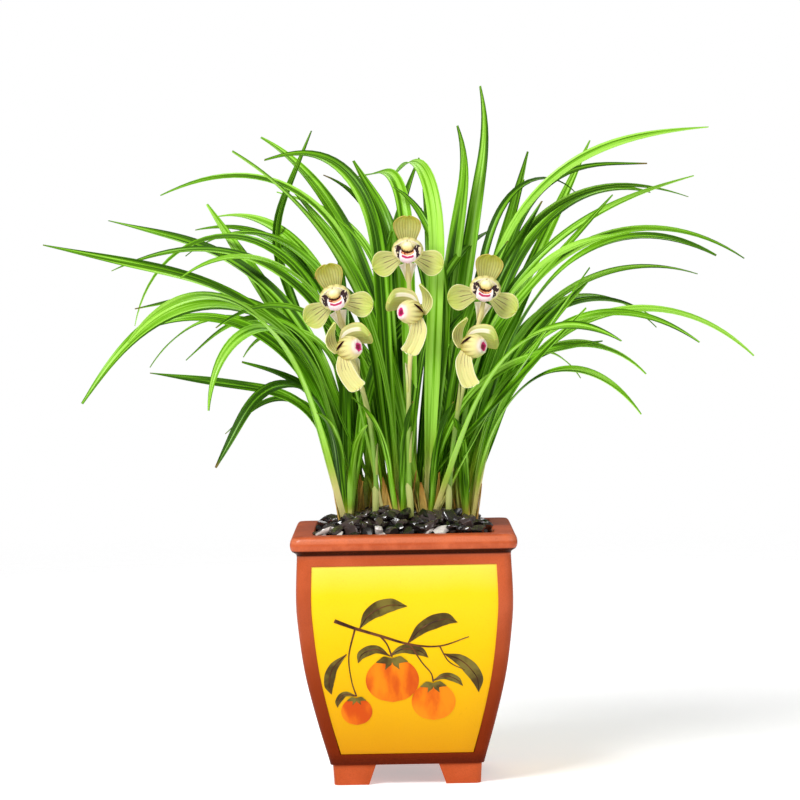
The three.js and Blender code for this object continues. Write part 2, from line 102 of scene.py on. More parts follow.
class Shade:
    """A socket of a material's nodes that takes part in plain sums."""

    def __init__(self, tree, socket=None):
        self.tree, self.socket = tree, socket

    def node(self, kind, settings=None, inputs=None, output=0):
        made = self.tree.nodes.new(kind)
        for name, value in (settings or {}).items():
            if name == "stops":
                ramp = made.color_ramp
                while len(ramp.elements) < len(value):
                    ramp.elements.new(1.0)
                for element, (place, colour) in zip(ramp.elements, value):
                    element.position, element.color = place, colour
            else:
                setattr(made, name, value)
        for name, value in (inputs or {}).items():
            if isinstance(value, Shade):
                self.tree.links.new(value.socket, made.inputs[name])
            else:
                made.inputs[name].default_value = value
        return Shade(self.tree, made.outputs[output])

    def sum(self, operation, *values):
        return self.node("ShaderNodeMath", {"operation": operation}, dict(enumerate(values)))

    def __add__(self, other):
        return self.sum("ADD", self, other)

    def __radd__(self, other):
        return self.sum("ADD", other, self)

    def __sub__(self, other):
        return self.sum("SUBTRACT", self, other)

    def __rsub__(self, other):
        return self.sum("SUBTRACT", other, self)

    def __mul__(self, other):
        return self.sum("MULTIPLY", self, other)

    def __rmul__(self, other):
        return self.sum("MULTIPLY", other, self)

    def __pow__(self, other):
        return self.sum("POWER", self, other)

    def size(self):
        """How far from 0."""
        return self.sum("ABSOLUTE", self)

    def wave(self):
        return self.sum("SINE", self)

    def stripes(self):
        """A wave from 0 to 1."""
        return self.wave() * 0.5 + 0.5

    def between(self, low, high):
        """0 below low, 1 above high and a soft step between them."""
        return self.node("ShaderNodeMapRange", {"interpolation_type": "SMOOTHSTEP"},
                         {"Value": self, "From Min": low, "From Max": high})

    def below(self, low, high):
        """1 below low, 0 above high and a soft step between them."""
        return 1 - self.between(low, high)

    def band(self, low, full, falling, high):
        """1 inside a band, with a soft step at each of its sides."""
        return self.between(low, full) - self.between(falling, high)

    def noise(self, scale, detail=3, stretch=(1, 1, 1)):
        """Even noise from 0 to 1 over a vector, stretched if asked."""
        place = self.node("ShaderNodeVectorMath", {"operation": "MULTIPLY"}, {0: self, 1: stretch})
        return self.node("ShaderNodeTexNoise", None, {"Vector": place, "Scale": scale, "Detail": detail})

    def cells(self, scale, feature="F1"):
        """Cells over a vector: the distance from their middles, or else what the feature says."""
        inputs = {"Vector": self, "Scale": scale}
        return self.node("ShaderNodeTexVoronoi", {"feature": feature}, inputs, "Distance")

    def blend(self, first, second):
        """The first colour where this is 0 and the second where it is 1."""
        return self.node("ShaderNodeMix", {"data_type": "RGBA"}, {0: self, 6: first, 7: second}, 2)

    def part(self, axis):
        """One axis of a vector."""
        return self.node("ShaderNodeSeparateXYZ", None, {0: self}, axis)


class Finish:
    """A material whose shader gets fixed values at once and varying ones from expressions."""

    def __init__(self, name, **fixed):
        self.material = bpy.data.materials.new(name)
        self.material.use_nodes = True
        self.tree = self.material.node_tree
        self.shader = self.tree.nodes["Principled BSDF"]
        for socket, value in fixed.items():
            self.shader.inputs[socket.replace("_", " ")].default_value = value
        self.start = Shade(self.tree)
        self.place = self.start.node("ShaderNodeTexCoord", None, None, "Object")
        self.map = self.start.node("ShaderNodeTexCoord", None, None, "UV")

    def grid(self):
        """Across a sheet from -1 to 1, and along it from 0 to 1."""
        return (self.map.part(0) - 0.5) * 2, self.map.part(1)

    def mark(self, name):
        """A number that the mesh holds at each of its points."""
        return self.start.node("ShaderNodeAttribute", {"attribute_name": name}, None, "Fac")

    def set(self, socket, value):
        self.tree.links.new(value.socket, self.shader.inputs[socket])

    def bump(self, height, distance, strength):
        """Relief of a height from 0 to 1 over a distance in metres."""
        relief = {"Height": height, "Distance": distance, "Strength": strength}
        self.set("Normal", self.start.node("ShaderNodeBump", None, relief, "Normal"))


def begin(name, primitive, **settings):
    """A primitive, added with nothing else selected, under its own name."""
    bpy.ops.object.select_all(action="DESELECT")
    primitive(**settings)
    made = bpy.context.object
    made.name = made.data.name = name
    return made


def edit(piece, pick=None):
    """Opens a piece in edit mode with only the faces that pick likes selected, or all of them."""
    bpy.context.view_layer.objects.active = piece
    bpy.ops.object.mode_set(mode="EDIT")
    bpy.ops.mesh.select_mode(type="FACE")
    bpy.ops.mesh.select_all(action="SELECT" if pick is None else "DESELECT")
    if pick is not None:
        shape = bmesh.from_edit_mesh(piece.data)
        for face in shape.faces:
            face.select_set(bool(pick(face)))
        bmesh.update_edit_mesh(piece.data)


def close():
    """Turns all faces outwards and leaves edit mode."""
    bpy.ops.mesh.select_all(action="SELECT")
    bpy.ops.mesh.normals_make_consistent(inside=False)
    bpy.ops.object.mode_set(mode="OBJECT")


def apply(piece, kind, **settings):
    """Adds one modifier to a piece and applies it."""
    modifier = piece.modifiers.new(kind.lower(), kind)
    for name, value in settings.items():
        setattr(modifier, name, value)
    bpy.context.view_layer.objects.active = piece
    bpy.ops.object.modifier_apply(modifier=modifier.name)


def smooth(piece, degrees=180):
    """Shades a piece smooth, except over edges sharper than an angle."""
    bpy.ops.object.select_all(action="DESELECT")
    piece.select_set(True)
    bpy.context.view_layer.objects.active = piece
    if degrees >= 180:
        bpy.ops.object.shade_smooth()
    else:
        bpy.ops.object.shade_smooth_by_angle(angle=math.radians(degrees))


def round_off(piece, width, degrees):
    """Rounds the edges that are sharper than an angle, over a width in millimetres."""
    sharp = math.radians(degrees)
    apply(piece, "BEVEL", width=width * MM, segments=2, limit_method="ANGLE", angle_limit=sharp)


def coat(piece, finish):
    """Gives a piece its finish, in place of any that it has."""
    piece.data.materials.clear()
    piece.data.materials.append(finish.material)


def settle(piece, slot, finish, *nodes):
    """Gives a finished piece its finish, if any, its place on the frame and the nodes it stands for."""
    if finish:
        coat(piece, finish)
    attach(piece, "root")
    if nodes:
        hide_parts(*nodes)


pot = begin("pot", bpy.ops.mesh.primitive_plane_add, size=2 * BLANK_HALF * MM)
edit(pot)
bpy.ops.mesh.bevel(offset=POT_CORNER * MM, segments=6, affect="VERTICES")
strip_low, strip_high = PANEL_STRIP
strip_levels = np.linspace(strip_low, strip_high, round((strip_high - strip_low) / POT_LEVEL) + 1)
wall_levels = [FOOT_HEIGHT + 0.6, *strip_levels, POT_SIDE[-1][1]]
# the wall steps out a little over the feet
feet = [(65.3, 0), (66.3, FOOT_HEIGHT - 0.4), (67, FOOT_HEIGHT)]
outside = feet + [(half_width(height), height) for height in wall_levels]
half_now, height_now = BLANK_HALF, 0
for half, height in [*outside, *POT_RIM, *POT_MOUTH]:
    if height != height_now:
        rise = (0, 0, (height - height_now) * MM)
        bpy.ops.mesh.extrude_region_move(TRANSFORM_OT_translate={"value": rise})
    grow = half / half_now
    bpy.ops.transform.resize(value=(grow, grow, 1), center_override=(0, 0, height * MM))
    half_now, height_now = half, height
close()


def on_panel_strip(face):
    """Is this one of the four broad strips of outer wall that hold the panels?"""
    centre, normal = face.calc_center_median(), face.normal
    flat = max(abs(normal.x), abs(normal.y)) > 0.9
    facing_out = centre.x * normal.x + centre.y * normal.y > 0
    level = strip_low * MM < centre.z < strip_high * MM
    return flat and facing_out and level and face.calc_area() > STRIP_AREA * MM**2


edit(pot, on_panel_strip)
bpy.ops.mesh.inset(thickness=PANEL_EDGE * MM, depth=0)
bpy.ops.mesh.inset(thickness=BED_SLOPE * MM, depth=-PANEL_BED * MM)
close()

for turn in (0, 90):
    gap = begin("foot_gap", bpy.ops.mesh.primitive_cube_add, size=1)
    gap.data.transform(Matrix.Diagonal((GAP_LENGTH * MM, 1, 2 * FOOT_HEIGHT * MM, 1)))
    for vertex in gap.data.vertices:
        vertex.co.y *= (FOOT_GAP[0] if vertex.co.z < 0 else FOOT_GAP[1]) * MM
        vertex.co.z = max(vertex.co.z, GAP_LOW * MM)
    gap.data.transform(Matrix.Rotation(math.radians(turn), 4, "Z"))
    apply(pot, "BOOLEAN", object=gap, operation="DIFFERENCE", solver="EXACT")
    bpy.data.objects.remove(gap)
drain = begin("drain", bpy.ops.mesh.primitive_cylinder_add, vertices=40, radius=DRAIN_RADIUS * MM,
              depth=DRAIN_CUT * MM)
apply(pot, "BOOLEAN", object=drain, operation="DIFFERENCE", solver="EXACT")
bpy.data.objects.remove(drain)
round_off(pot, POT_ROUND, POT_SHARP)
smooth(pot, 40)

# the clay's bands lie between heights in metres
clay = Finish("red_clay", Specular_IOR_Level=0.05, Coat_Roughness=0.25)
cloud = clay.place.noise(26, 4)
grain = clay.place.noise(900, 2)
height = clay.place.part(2)
above_feet = height.between(0.0165, 0.0195)
rim_highlight = height.band(0.217, 0.2195, 0.2222, 0.2238)
rim_shadow_line = height.band(0.2062, 0.208, 0.2112, 0.2126)
wear_and_highlight = clay.place.noise(70, 3).between(0.42, 0.7) * height.band(0.2115, 0.2135, 0.2238, 0.2246)
body = cloud.between(0.3, 0.75).blend(paint(184, 80, 38), paint(202, 94, 52))
# painted shade: the body darkens steadily downwards towards the feet, where it faces down
body = (height.below(0.03, 0.2) * above_feet).blend(body, paint(116, 36, 2))
# painted highlight: a pale band along the upper front of the rim
body = (rim_highlight * 0.4).blend(body, paint(240, 146, 110))
# painted shadow: a dark line along the underside of the rim's roll
body = rim_shadow_line.blend(body, paint(44, 12, 1))
# painted shade: a dark strip just above the feet, where the body curves in under itself
body = (height.below(0.019, 0.034) * above_feet).blend(body, paint(84, 22, 1))
body = (grain.between(0.35, 0.8) * 0.25).blend(body, paint(138, 54, 24))
# the rim's top is paled in patches: partly rubbed wear and partly a painted highlight along its edge
clay.set("Base Color", (wear_and_highlight * 0.4).blend(body, paint(228, 118, 72)))
clay.set("Roughness", 0.3 + 0.2 * cloud)
clay.set("Coat Weight", (height.band(0.1, 0.19, 0.2222, 0.224) - rim_shadow_line) * 0.4)
clay.bump(grain + cloud * 0.6, 0.0004, 0.35)
settle(pot, "clay", clay, "pot_body")

# ---------------------------------------------------------------------------- panels
# A slab of white clay with a thick yellow glaze is let into the bed on each side. The glaze runs
# from lemon yellow at the top to amber at the foot, and shows fine crazing close up.
PANEL_LOW, PANEL_HIGH = 28, 198
PANEL_BORDER = 12
PANEL_SUNK = 0.8
PANEL_THICK = 1.5
PANEL_GAP = 0.25
PANEL_ROUND = 0.35
PANEL_SHARP = 50
GLAZE_RUN = [(0.0, paint(212, 146, 0)), (0.3, paint(234, 176, 0)), (0.6, paint(250, 200, 0)),
             (0.85, paint(252, 214, 26)), (1.0, paint(252, 224, 84))]


def place_points(piece, places):
    """Moves a mesh's points to places in millimetres."""
    piece.data.vertices.foreach_set("co", (places * MM).astype(np.float32).ravel())
    piece.data.update()


def sheet(name, across, along, shape):
    """A grid whose points, side -1 to 1 and share 0 to 1, are moved to shape(side, share), in mm."""
    made = begin(name, bpy.ops.mesh.primitive_grid_add, x_subdivisions=across, y_subdivisions=along, size=2)
    flat = np.zeros(3 * len(made.data.vertices))
    made.data.vertices.foreach_get("co", flat)
    side, share = flat[0::3], (flat[1::3] + 1) / 2
    place_points(made, np.stack(np.broadcast_arrays(*shape(side, share)), 1))
    return made


def panel_point(side, share):
    height = PANEL_LOW + PANEL_GAP + share * (PANEL_HIGH - PANEL_LOW - 2 * PANEL_GAP)
    half = half_width(height)
    return side * (half - PANEL_BORDER - PANEL_GAP), PANEL_SUNK - half, height


glaze = Finish("yellow_glaze", Specular_IOR_Level=0.1, Coat_Weight=0.03, Coat_Roughness=0.08)
streak = glaze.place.noise(30, 3, (1, 1, 0.25))
level = glaze.place.part(2) + 0.008 * (streak - 0.5)
run = level.node("ShaderNodeMapRange", None,
                 {"Value": level, "From Min": PANEL_LOW * MM, "From Max": PANEL_HIGH * MM})
glaze_colour = run.node("ShaderNodeValToRGB", {"stops": GLAZE_RUN}, {"Fac": run})
crack = glaze.place.cells(320, "DISTANCE_TO_EDGE").below(0.0, 0.035)
glaze.set("Base Color", (crack * 0.1).blend(glaze_colour, paint(168, 104, 10)))
glaze.set("Roughness", 0.18 + 0.1 * streak)
glaze.bump(glaze.place.noise(60, 2) + crack * -0.1, 0.0005, 0.25)
for turn, side_name in enumerate(("front", "right", "back", "left")):
    panel = sheet("glazed_panel_" + side_name, 8, 40, panel_point)
    apply(panel, "SOLIDIFY", thickness=PANEL_THICK * MM, offset=-1)
    round_off(panel, PANEL_ROUND, PANEL_SHARP)
    panel.data.transform(Matrix.Rotation(math.radians(90 * turn), 4, "Z"))
    smooth(panel, 40)
    settle(panel, "panel_glaze", glaze, "panel_" + side_name)

# ---------------------------------------------------------------------------- painted branch
# The front panel carries a fruiting branch in coloured slip, brushed on over the glaze and
# fired once more, so each stroke stands a little proud. It is a plain, common ornament.
SLIP_THICK = 0.25
STROKE_STEPS = 6
FRUIT_DOME = 0.7
# a fruit: x, height of its middle, width and height; a calyx: the tips of its sepals, in widths
FRUITS = [(-12, 96, 46, 40), (24, 76, 38, 34), (-44, 68, 27, 25)]
CALYX = [(-0.3, -0.06), (-0.13, -0.2), (0.14, -0.2), (0.3, -0.05)]


def on_panel(x, height, proud):
    """The point of the front panel's face at x and a height, lifted off it."""
    return np.stack(np.broadcast_arrays(x, PANEL_SUNK - half_width(height) - proud, height), -1)


def unit(vectors):
    return vectors / np.linalg.norm(vectors, axis=1)[:, None]


def at_share(rows, share):
    """The columns of a line's rows, read at shares of its length in rows."""
    at, step = share * (len(rows) - 1), np.arange(len(rows))
    return np.stack([np.interp(at, step, column) for column in rows.T])


def thicken(piece, thickness, offset=0, degrees=70):
    """Gives a sheet its thickness in millimetres and shades it smooth."""
    apply(piece, "SOLIDIFY", thickness=thickness * MM, offset=offset)
    smooth(piece, degrees)
    return piece


def stroke(name, course, widths, proud):
    """A brush stroke along (x, height) points, as wide at each as widths says."""
    count = STROKE_STEPS * len(course)
    line = smooth_course(course, count)
    wide = np.interp(np.linspace(0, 1, count), np.linspace(0, 1, len(widths)), widths) / 2
    rows = np.column_stack([line, unit(np.gradient(line, axis=0)), wide])

    def shape(side, share):
        x, z, along_x, along_z, half = at_share(rows, share)
        return on_panel(x - along_z * side * half, z + along_x * side * half, proud * (1 - 0.5 * side**2)).T
    return thicken(sheet(name, 2, count, shape), SLIP_THICK, 0, 60)


def slip(name, dark, light, scale, stretch=(1, 1, 1)):
    """A brushed slip that goes from one colour to another in streaks."""
    made = Finish(name, Roughness=0.4, Specular_IOR_Level=0.15)
    streaks = made.place.noise(scale, 5, stretch)
    made.set("Base Color", streaks.between(0.36, 0.64).blend(dark, light))
    made.bump(streaks, 0.0003, 0.4)
    return made


def fruit(name, x, z, wide, high):
    """A round fruit in slip: a low dome with lobes, seen from the side."""
    def shape(side, share):
        round_half = np.sqrt(np.clip(1 - (2 * share - 1) ** 2, 0, 1))
        lobes = 1 + 0.02 * np.cos(6 * side)
        dome = SLIP_THICK + FRUIT_DOME * np.clip(1 - side**2, 0, 1) * round_half
        return on_panel(x + side * wide / 2 * round_half * lobes, z + (share - 0.5) * high, dome).T
    return thicken(sheet(name, 16, 18, shape), SLIP_THICK, 0, 60)


orange_slip = slip("orange_slip", paint(206, 76, 2), paint(250, 138, 4), 46, (1, 1, 0.4))
brown_slip = slip("brown_slip", paint(58, 28, 18), paint(112, 66, 34), 90)
leaf_slip = slip("leaf_slip", paint(74, 58, 22), paint(122, 108, 44), 70)
for i, (x, z, wide, high) in enumerate(FRUITS):
    settle(fruit(f"painted_fruit_{i + 1}", x, z, wide, high), "panel_glaze", orange_slip)
    top = z + high / 2 - 1
    for j, (dx, dz) in enumerate(CALYX):
        course = [(x, top), (x + dx * wide / 2, top + dz * wide / 2 + 0.6), (x + dx * wide, top + dz * wide)]
        sepal = stroke(f"painted_calyx_{i + 1}_{j + 1}", course, (1.5, 0.15 * wide, 0.4), 1.2)
        settle(sepal, "panel_glaze", leaf_slip)
BRANCHES = [
    ([(-62, 150), (-44, 143), (-22, 136), (4, 128), (30, 126), (56, 134)], (3.4, 2.6, 2.4, 1.8, 1.2, 0.5)),
    ([(-22, 136), (-16, 128), (-12, 117)], (1.8, 1.2, 1.4)),
    ([(4, 128), (14, 112), (22, 102), (24, 94)], (1.6, 1.0, 0.9, 1.3)),
    ([(-44, 143), (-50, 118), (-48, 96), (-44, 82)], (1.6, 1.0, 0.8, 1.2)),
    ([(30, 126), (38, 112), (52, 104)], (1.2, 0.8, 0.4)),
]
for i, (course, widths) in enumerate(BRANCHES):
    settle(stroke(f"painted_branch_{i + 1}", course, widths, 0.5), "panel_glaze", brown_slip)
PAINTED_LEAVES = [
    ([(-40, 143), (-30, 156), (-14, 163), (2, 162)], 14), ([(2, 129), (16, 143), (34, 150), (46, 147)], 13),
    ([(-52, 120), (-64, 108), (-68, 94), (-66, 84)], 10), ([(34, 119), (50, 112), (62, 98), (64, 84)], 13),
    ([(-14, 118), (-2, 124), (12, 122), (20, 116)], 9), ([(-14, 118), (-26, 124), (-38, 120), (-42, 112)], 9),
    ([(24, 95), (34, 99), (44, 96), (50, 90)], 7), ([(-44, 82), (-54, 84), (-60, 78), (-61, 72)], 6),
]
for i, (course, wide) in enumerate(PAINTED_LEAVES):
    blade = stroke(f"painted_leaf_{i + 1}", course, (0.5, 0.7 * wide, wide, 0.8 * wide, 0.3), 0.35)
    settle(blade, "panel_glaze", leaf_slip)
    settle(stroke(f"painted_vein_{i + 1}", course, (0.9, 0.7, 0.3), 0.75), "panel_glaze", brown_slip)

# ---------------------------------------------------------------------------- filling
# Under the dressing the pot holds, from the floor up, a plastic net over the drain hole, a layer
# of gravel and a mix of fir bark. They are poured or laid in, and are seen only through the hole.
net = Finish("black_net", Roughness=0.5)
threads = net.place.noise(400, 2)
net.set("Base Color", threads.blend(paint(24, 24, 26), paint(44, 44, 46)))
net.bump(threads, 0.0003, 0.4)
gravel = Finish("washed_gravel", Roughness=0.85)
stones = gravel.place.cells(130)
gravel.set("Base Color", stones.between(0.1, 0.7).blend(paint(156, 146, 134), paint(92, 84, 76)))
gravel.bump(1 - stones, 0.003, 0.8)
bark = Finish("fir_bark", Roughness=0.9)
chips = bark.place.cells(85)
weathered = chips.between(0.1, 0.7) * bark.place.noise(40)
bark.set("Base Color", weathered.blend(paint(96, 60, 36), paint(40, 24, 16)))
bark.bump(1 - chips, 0.004, 0.8)
for node, finish in (("drainage_net", net), ("drainage_gravel", gravel), ("potting_mix", bark)):
    coat(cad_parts[node], finish)

# ---------------------------------------------------------------------------- pebbles
# The pot is top-dressed with glossy black river pebbles, heaped a little round the plant, with a
# few pale ones among them at the front. They lie loose on a bed of smaller dark stones.
# MOUND: distance from the middle and height; SHOOTS: where each fan of leaves stands, x and y
MOUND = [(0, 242), (20, 241.5), (40, 238.5), (58, 232.5), (70, 226), (79.7, 221)]
SHOOTS = {
    "LA": (-50, -8), "LB": (-38, 14), "LC": (-26, 36), "CA": (-12, 4), "CB": (-2, -24), "CC": (10, -2),
    "CD": (22, -22), "BC": (10, 28), "RA": (38, 32), "RB": (48, 10), "RC": (58, -10),
}
BED_HALF = 79
BED_SUNK = 5.5
PEBBLE_KINDS = 7
PEBBLE_FLATS = 7
PEBBLE_TIP = 24
PEBBLE_PITCH = 10.4
PEBBLE_STRAY = 2.6
LAID_HALF = 76
PALE_FRONT = -64
chance = random.Random(41)


def mound_height(x, y):
    reach = np.maximum(np.abs(x), np.abs(y))
    return np.interp(reach, [row[0] for row in MOUND], [row[1] for row in MOUND])


def bed_point(side, share):
    x, y = BED_HALF * side, BED_HALF * (2 * share - 1)
    lumps = 1.2 * np.sin(0.8 * x + 0.3 * y) * np.sin(0.7 * y - 0.2 * x)
    return x, y, mound_height(x, y) - BED_SUNK + lumps


def mark_points(mesh, name, values):
    """Writes a number at each of a mesh's points, for a finish to read as a mark."""
    numbers = (np.zeros(len(mesh.vertices)) + values).astype(np.float32)
    mesh.attributes.new(name, "FLOAT", "POINT").data.foreach_set("value", numbers)


bed = thicken(sheet("pebble_bed", 60, 60, bed_point), 4, -1, 180)

pebble_shapes = []
for kind in range(PEBBLE_KINDS):
    stone = begin("pebble_shape", bpy.ops.mesh.primitive_ico_sphere_add, subdivisions=2, radius=1)
    flats = [(Vector([chance.gauss(0, 1) for _ in range(3)]).normalized(), chance.uniform(0.42, 0.72))
             for _ in range(PEBBLE_FLATS)]
    for vertex in stone.data.vertices:
        for normal, depth in flats:
            past = vertex.co.dot(normal) - depth
            if past > 0:
                vertex.co -= 0.92 * past * normal
        vertex.co *= 1 + 0.05 * math.sin(3 * vertex.co.x + kind) * math.cos(4 * vertex.co.y - kind)
    smooth(stone, 26)
    pebble_shapes.append(stone.data)
    bpy.data.objects.remove(stone)


def lay_pebble(x, y, z, size, pale):
    """One pebble: a copy of a shape, flattened, turned and laid at a place in millimetres."""
    long = size * chance.uniform(0.95, 1.35)
    wide = size * chance.uniform(0.62, 0.95)
    thick = size * chance.uniform(0.34, 0.56)
    turn = Matrix.Rotation(chance.uniform(0, 2 * math.pi), 4, "Z")
    tip = Matrix.Rotation(math.radians(chance.gauss(0, PEBBLE_TIP)), 4, "X")
    tip = tip @ Matrix.Rotation(math.radians(chance.gauss(0, PEBBLE_TIP)), 4, "Y")
    mesh = pebble_shapes[chance.randrange(PEBBLE_KINDS)].copy()
    mesh.transform(tip @ turn @ Matrix.Diagonal((long * MM, wide * MM, thick * MM, 1)))
    mesh.transform(Matrix.Translation(Vector((x, y, z)) * MM))
    mark_points(mesh, "tone", chance.uniform(0.75, 1.0) if pale else chance.uniform(0.0, 0.3))
    laid = bpy.data.objects.new("pebble", mesh)
    bpy.context.scene.collection.objects.link(laid)
    return laid


def clear_of_shoots(x, y, room):
    return all(math.hypot(x - sx, y - sy) > room for sx, sy in SHOOTS.values())


# a full layer of pebbles and a looser one on top: lift, share that is laid, room round a shoot
LAYERS = [(-3.6, 1.0, 10), (-0.6, 0.62, 8.5)]
laid_pebbles = []
rows = int(2 * LAID_HALF / PEBBLE_PITCH) + 1
for lift, keep, room in LAYERS:
    for i in range(rows):
        for j in range(rows):
            x = -LAID_HALF + i * PEBBLE_PITCH + chance.uniform(-PEBBLE_STRAY, PEBBLE_STRAY)
            x += (j % 2) * PEBBLE_PITCH / 2
            y = -LAID_HALF + j * PEBBLE_PITCH + chance.uniform(-PEBBLE_STRAY, PEBBLE_STRAY)
            reach = max(abs(x), abs(y))
            size = min(chance.uniform(6, 11), LAID_HALF + 6 - reach)
            if reach > LAID_HALF - 1.5 or chance.random() > keep or not clear_of_shoots(x, y, room):
                continue
            z = float(mound_height(x, y)) + lift + chance.uniform(-0.8, 0.8)
            laid_pebbles.append(lay_pebble(x, y, z, size, chance.random() < (0.22 if y < PALE_FRONT else 0)))
bpy.ops.object.select_all(action="DESELECT")
for laid in laid_pebbles:
    laid.select_set(True)
bpy.context.view_layer.objects.active = laid_pebbles[0]
bpy.ops.object.join()
pebbles = bpy.context.object
pebbles.name = pebbles.data.name = "pebbles"

pebble = Finish("polished_pebble", Specular_IOR_Level=1.0)
tone = pebble.mark("tone")
cloud = pebble.place.noise(160, 4)
dark_stone = (tone * 2 + cloud * 0.5).between(0.1, 1.1).blend(paint(8, 7, 7), paint(84, 68, 64))
pale_stone = cloud.between(0.3, 0.7).blend(paint(236, 228, 220), paint(190, 180, 176))
pebble.set("Base Color", tone.between(0.5, 0.6).blend(dark_stone, pale_stone))
pebble.set("Roughness", 0.07 + 0.2 * cloud)
pebble.bump(pebble.place.noise(700, 3), 0.0003, 0.3)
settle(pebbles, "pebble", pebble, "pebble_dressing")
small_stones = Finish("small_dark_stones", Roughness=0.45)
specks = small_stones.place.cells(260)
small_stones.set("Base Color", specks.between(0.1, 0.6).blend(paint(46, 45, 46), paint(10, 10, 11)))
small_stones.bump(1 - specks, 0.002, 0.9)
settle(bed, "pebble", small_stones, "pebble_dressing")

# ---------------------------------------------------------------------------- clumps
# Three clumps of the plant stand in the pot: fat pale bulbs in a row on a creeping rhizome, with
# fleshy roots below. Each bulb carries a fan of leaves wrapped in dry, papery sheaths.
bulb = Finish("bulb_skin", Roughness=0.5)
fibre = bulb.place.noise(500, 3, (1, 1, 0.08))
bulb.set("Base Color", fibre.between(0.35, 0.65).blend(paint(196, 188, 112), paint(134, 112, 62)))
bulb.bump(fibre, 0.0006, 0.5)
for side_name in ("left", "middle", "right"):
    coat(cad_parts["clump_" + side_name], bulb)

# ---------------------------------------------------------------------------- leaves
# Long strap leaves rise in fans from the bulbs and arch over to all sides. Each is a thin keeled
# blade, cream where it leaves its sheath, green above with a pale midrib and fine veins.
LEAF_FOOT_HEIGHT = 231.3
LEAF_GRID = (8, 44)
LEAF_COURSE_STEPS = 240
LEAF_TILT = 45
LEAF_THICK = 0.6
# a row: shoot, turn (degrees from the right towards the back), seat (how far the foot stands
# from the shoot's middle), length, lean (degrees from upright at the foot), droop (degrees that
# it bends over), the shares of its length where the bend begins and ends, and its width; a
# program fitted the rows of LEAVES and THIN_LEAVES to leaves of the photograph
LEAVES = [
    ("LA", 142, 7, 365, 4, 155, 0, 1.3, 7), ("LA", 178, 4, 255, 11, 70, 0.2, 0.65, 8),
    ("LA", 218, 5, 260, 10, 135, 0.25, 0.85, 11), ("LA", 231, 7, 395, 21, 132, 0.15, 1.3, 13),
    ("LB", 131, 4, 370, 21, 25, 0, 0.75, 14), ("LB", 150, 1, 430, 12, 65, 0.1, 0.9, 11),
    ("LB", 178, 8, 335, 10, 90, 0.25, 0.95, 12), ("LB", 190, 3, 420, 12, 65, 0.1, 0.8, 11),
    ("LB", 214, 5, 430, 16, 125, 0.15, 1, 14), ("LB", 227, 8, 330, 19, 170, 0.3, 1.15, 10),
    ("LC", 135, 4, 400, 27, -60, 0.6, 0.85, 7), ("LC", 164, 7, 450, 11, 170, 0.3, 1.15, 7),
    ("LC", 171, 3, 415, 6, 110, 0.15, 1.1, 8), ("CA", 128, 2, 430, 16, 95, 0.15, 1.3, 10),
    ("CB", 138, 5, 435, 4, 95, 0.5, 1, 11), ("CB", 206, 3, 385, 3, 65, 0.05, 1.3, 13),
    ("CC", 108, 3, 435, 1, 90, 0.55, 0.85, 11), ("CC", 128, 5, 445, 10, 70, 0.1, 1.3, 12),
    ("BC", 122, 3, 355, 6, 40, 0.6, 0.9, 16), ("CC", 325, 5, 265, 23, 25, 0.05, 0.3, 11),
    ("CD", 68, 4, 435, 25, -60, 0.8, 1.05, 12), ("CD", 107, 2, 435, -10, 115, 0.5, 0.95, 12),
    ("CC", 62, 6, 380, 19, -60, 0.8, 1.05, 13), ("CD", 312, 8, 325, 28, 105, 0.2, 1.3, 11),
    ("CD", 341, 3, 255, 6, 75, 0, 0.95, 10), ("BC", 12, 5, 430, 20, 70, 0.6, 0.95, 7),
    ("RA", 36, 8, 435, 16, 110, 0.3, 1.3, 11), ("RA", 52, 5, 430, 15, 25, 0.1, 0.35, 10),
    ("RA", 60, 2, 385, 1, 30, 0, 0.25, 11), ("RA", 355, 4, 480, 11, 75, 0.35, 1, 10),
    ("RB", 13, 3, 425, 1, 75, 0, 1.05, 6), ("RB", 16, 5, 455, 9, 135, 0.1, 1.3, 6),
    ("RB", 316, 8, 440, 19, 115, 0.15, 1.3, 10), ("RB", 318, 6, 375, 2, 105, 0, 1.3, 12),
    ("RB", 338, 1, 345, -6, 50, 0, 0.65, 10), ("RC", 3, 8, 380, 9, 145, 0, 1.3, 8),
    ("RC", 34, 3, 260, 14, 40, 0, 1.05, 14), ("RC", 315, 1, 285, -12, 55, 0.05, 0.3, 8),
    ("RC", 328, 6, 350, 7, 135, 0, 1.3, 7),
]
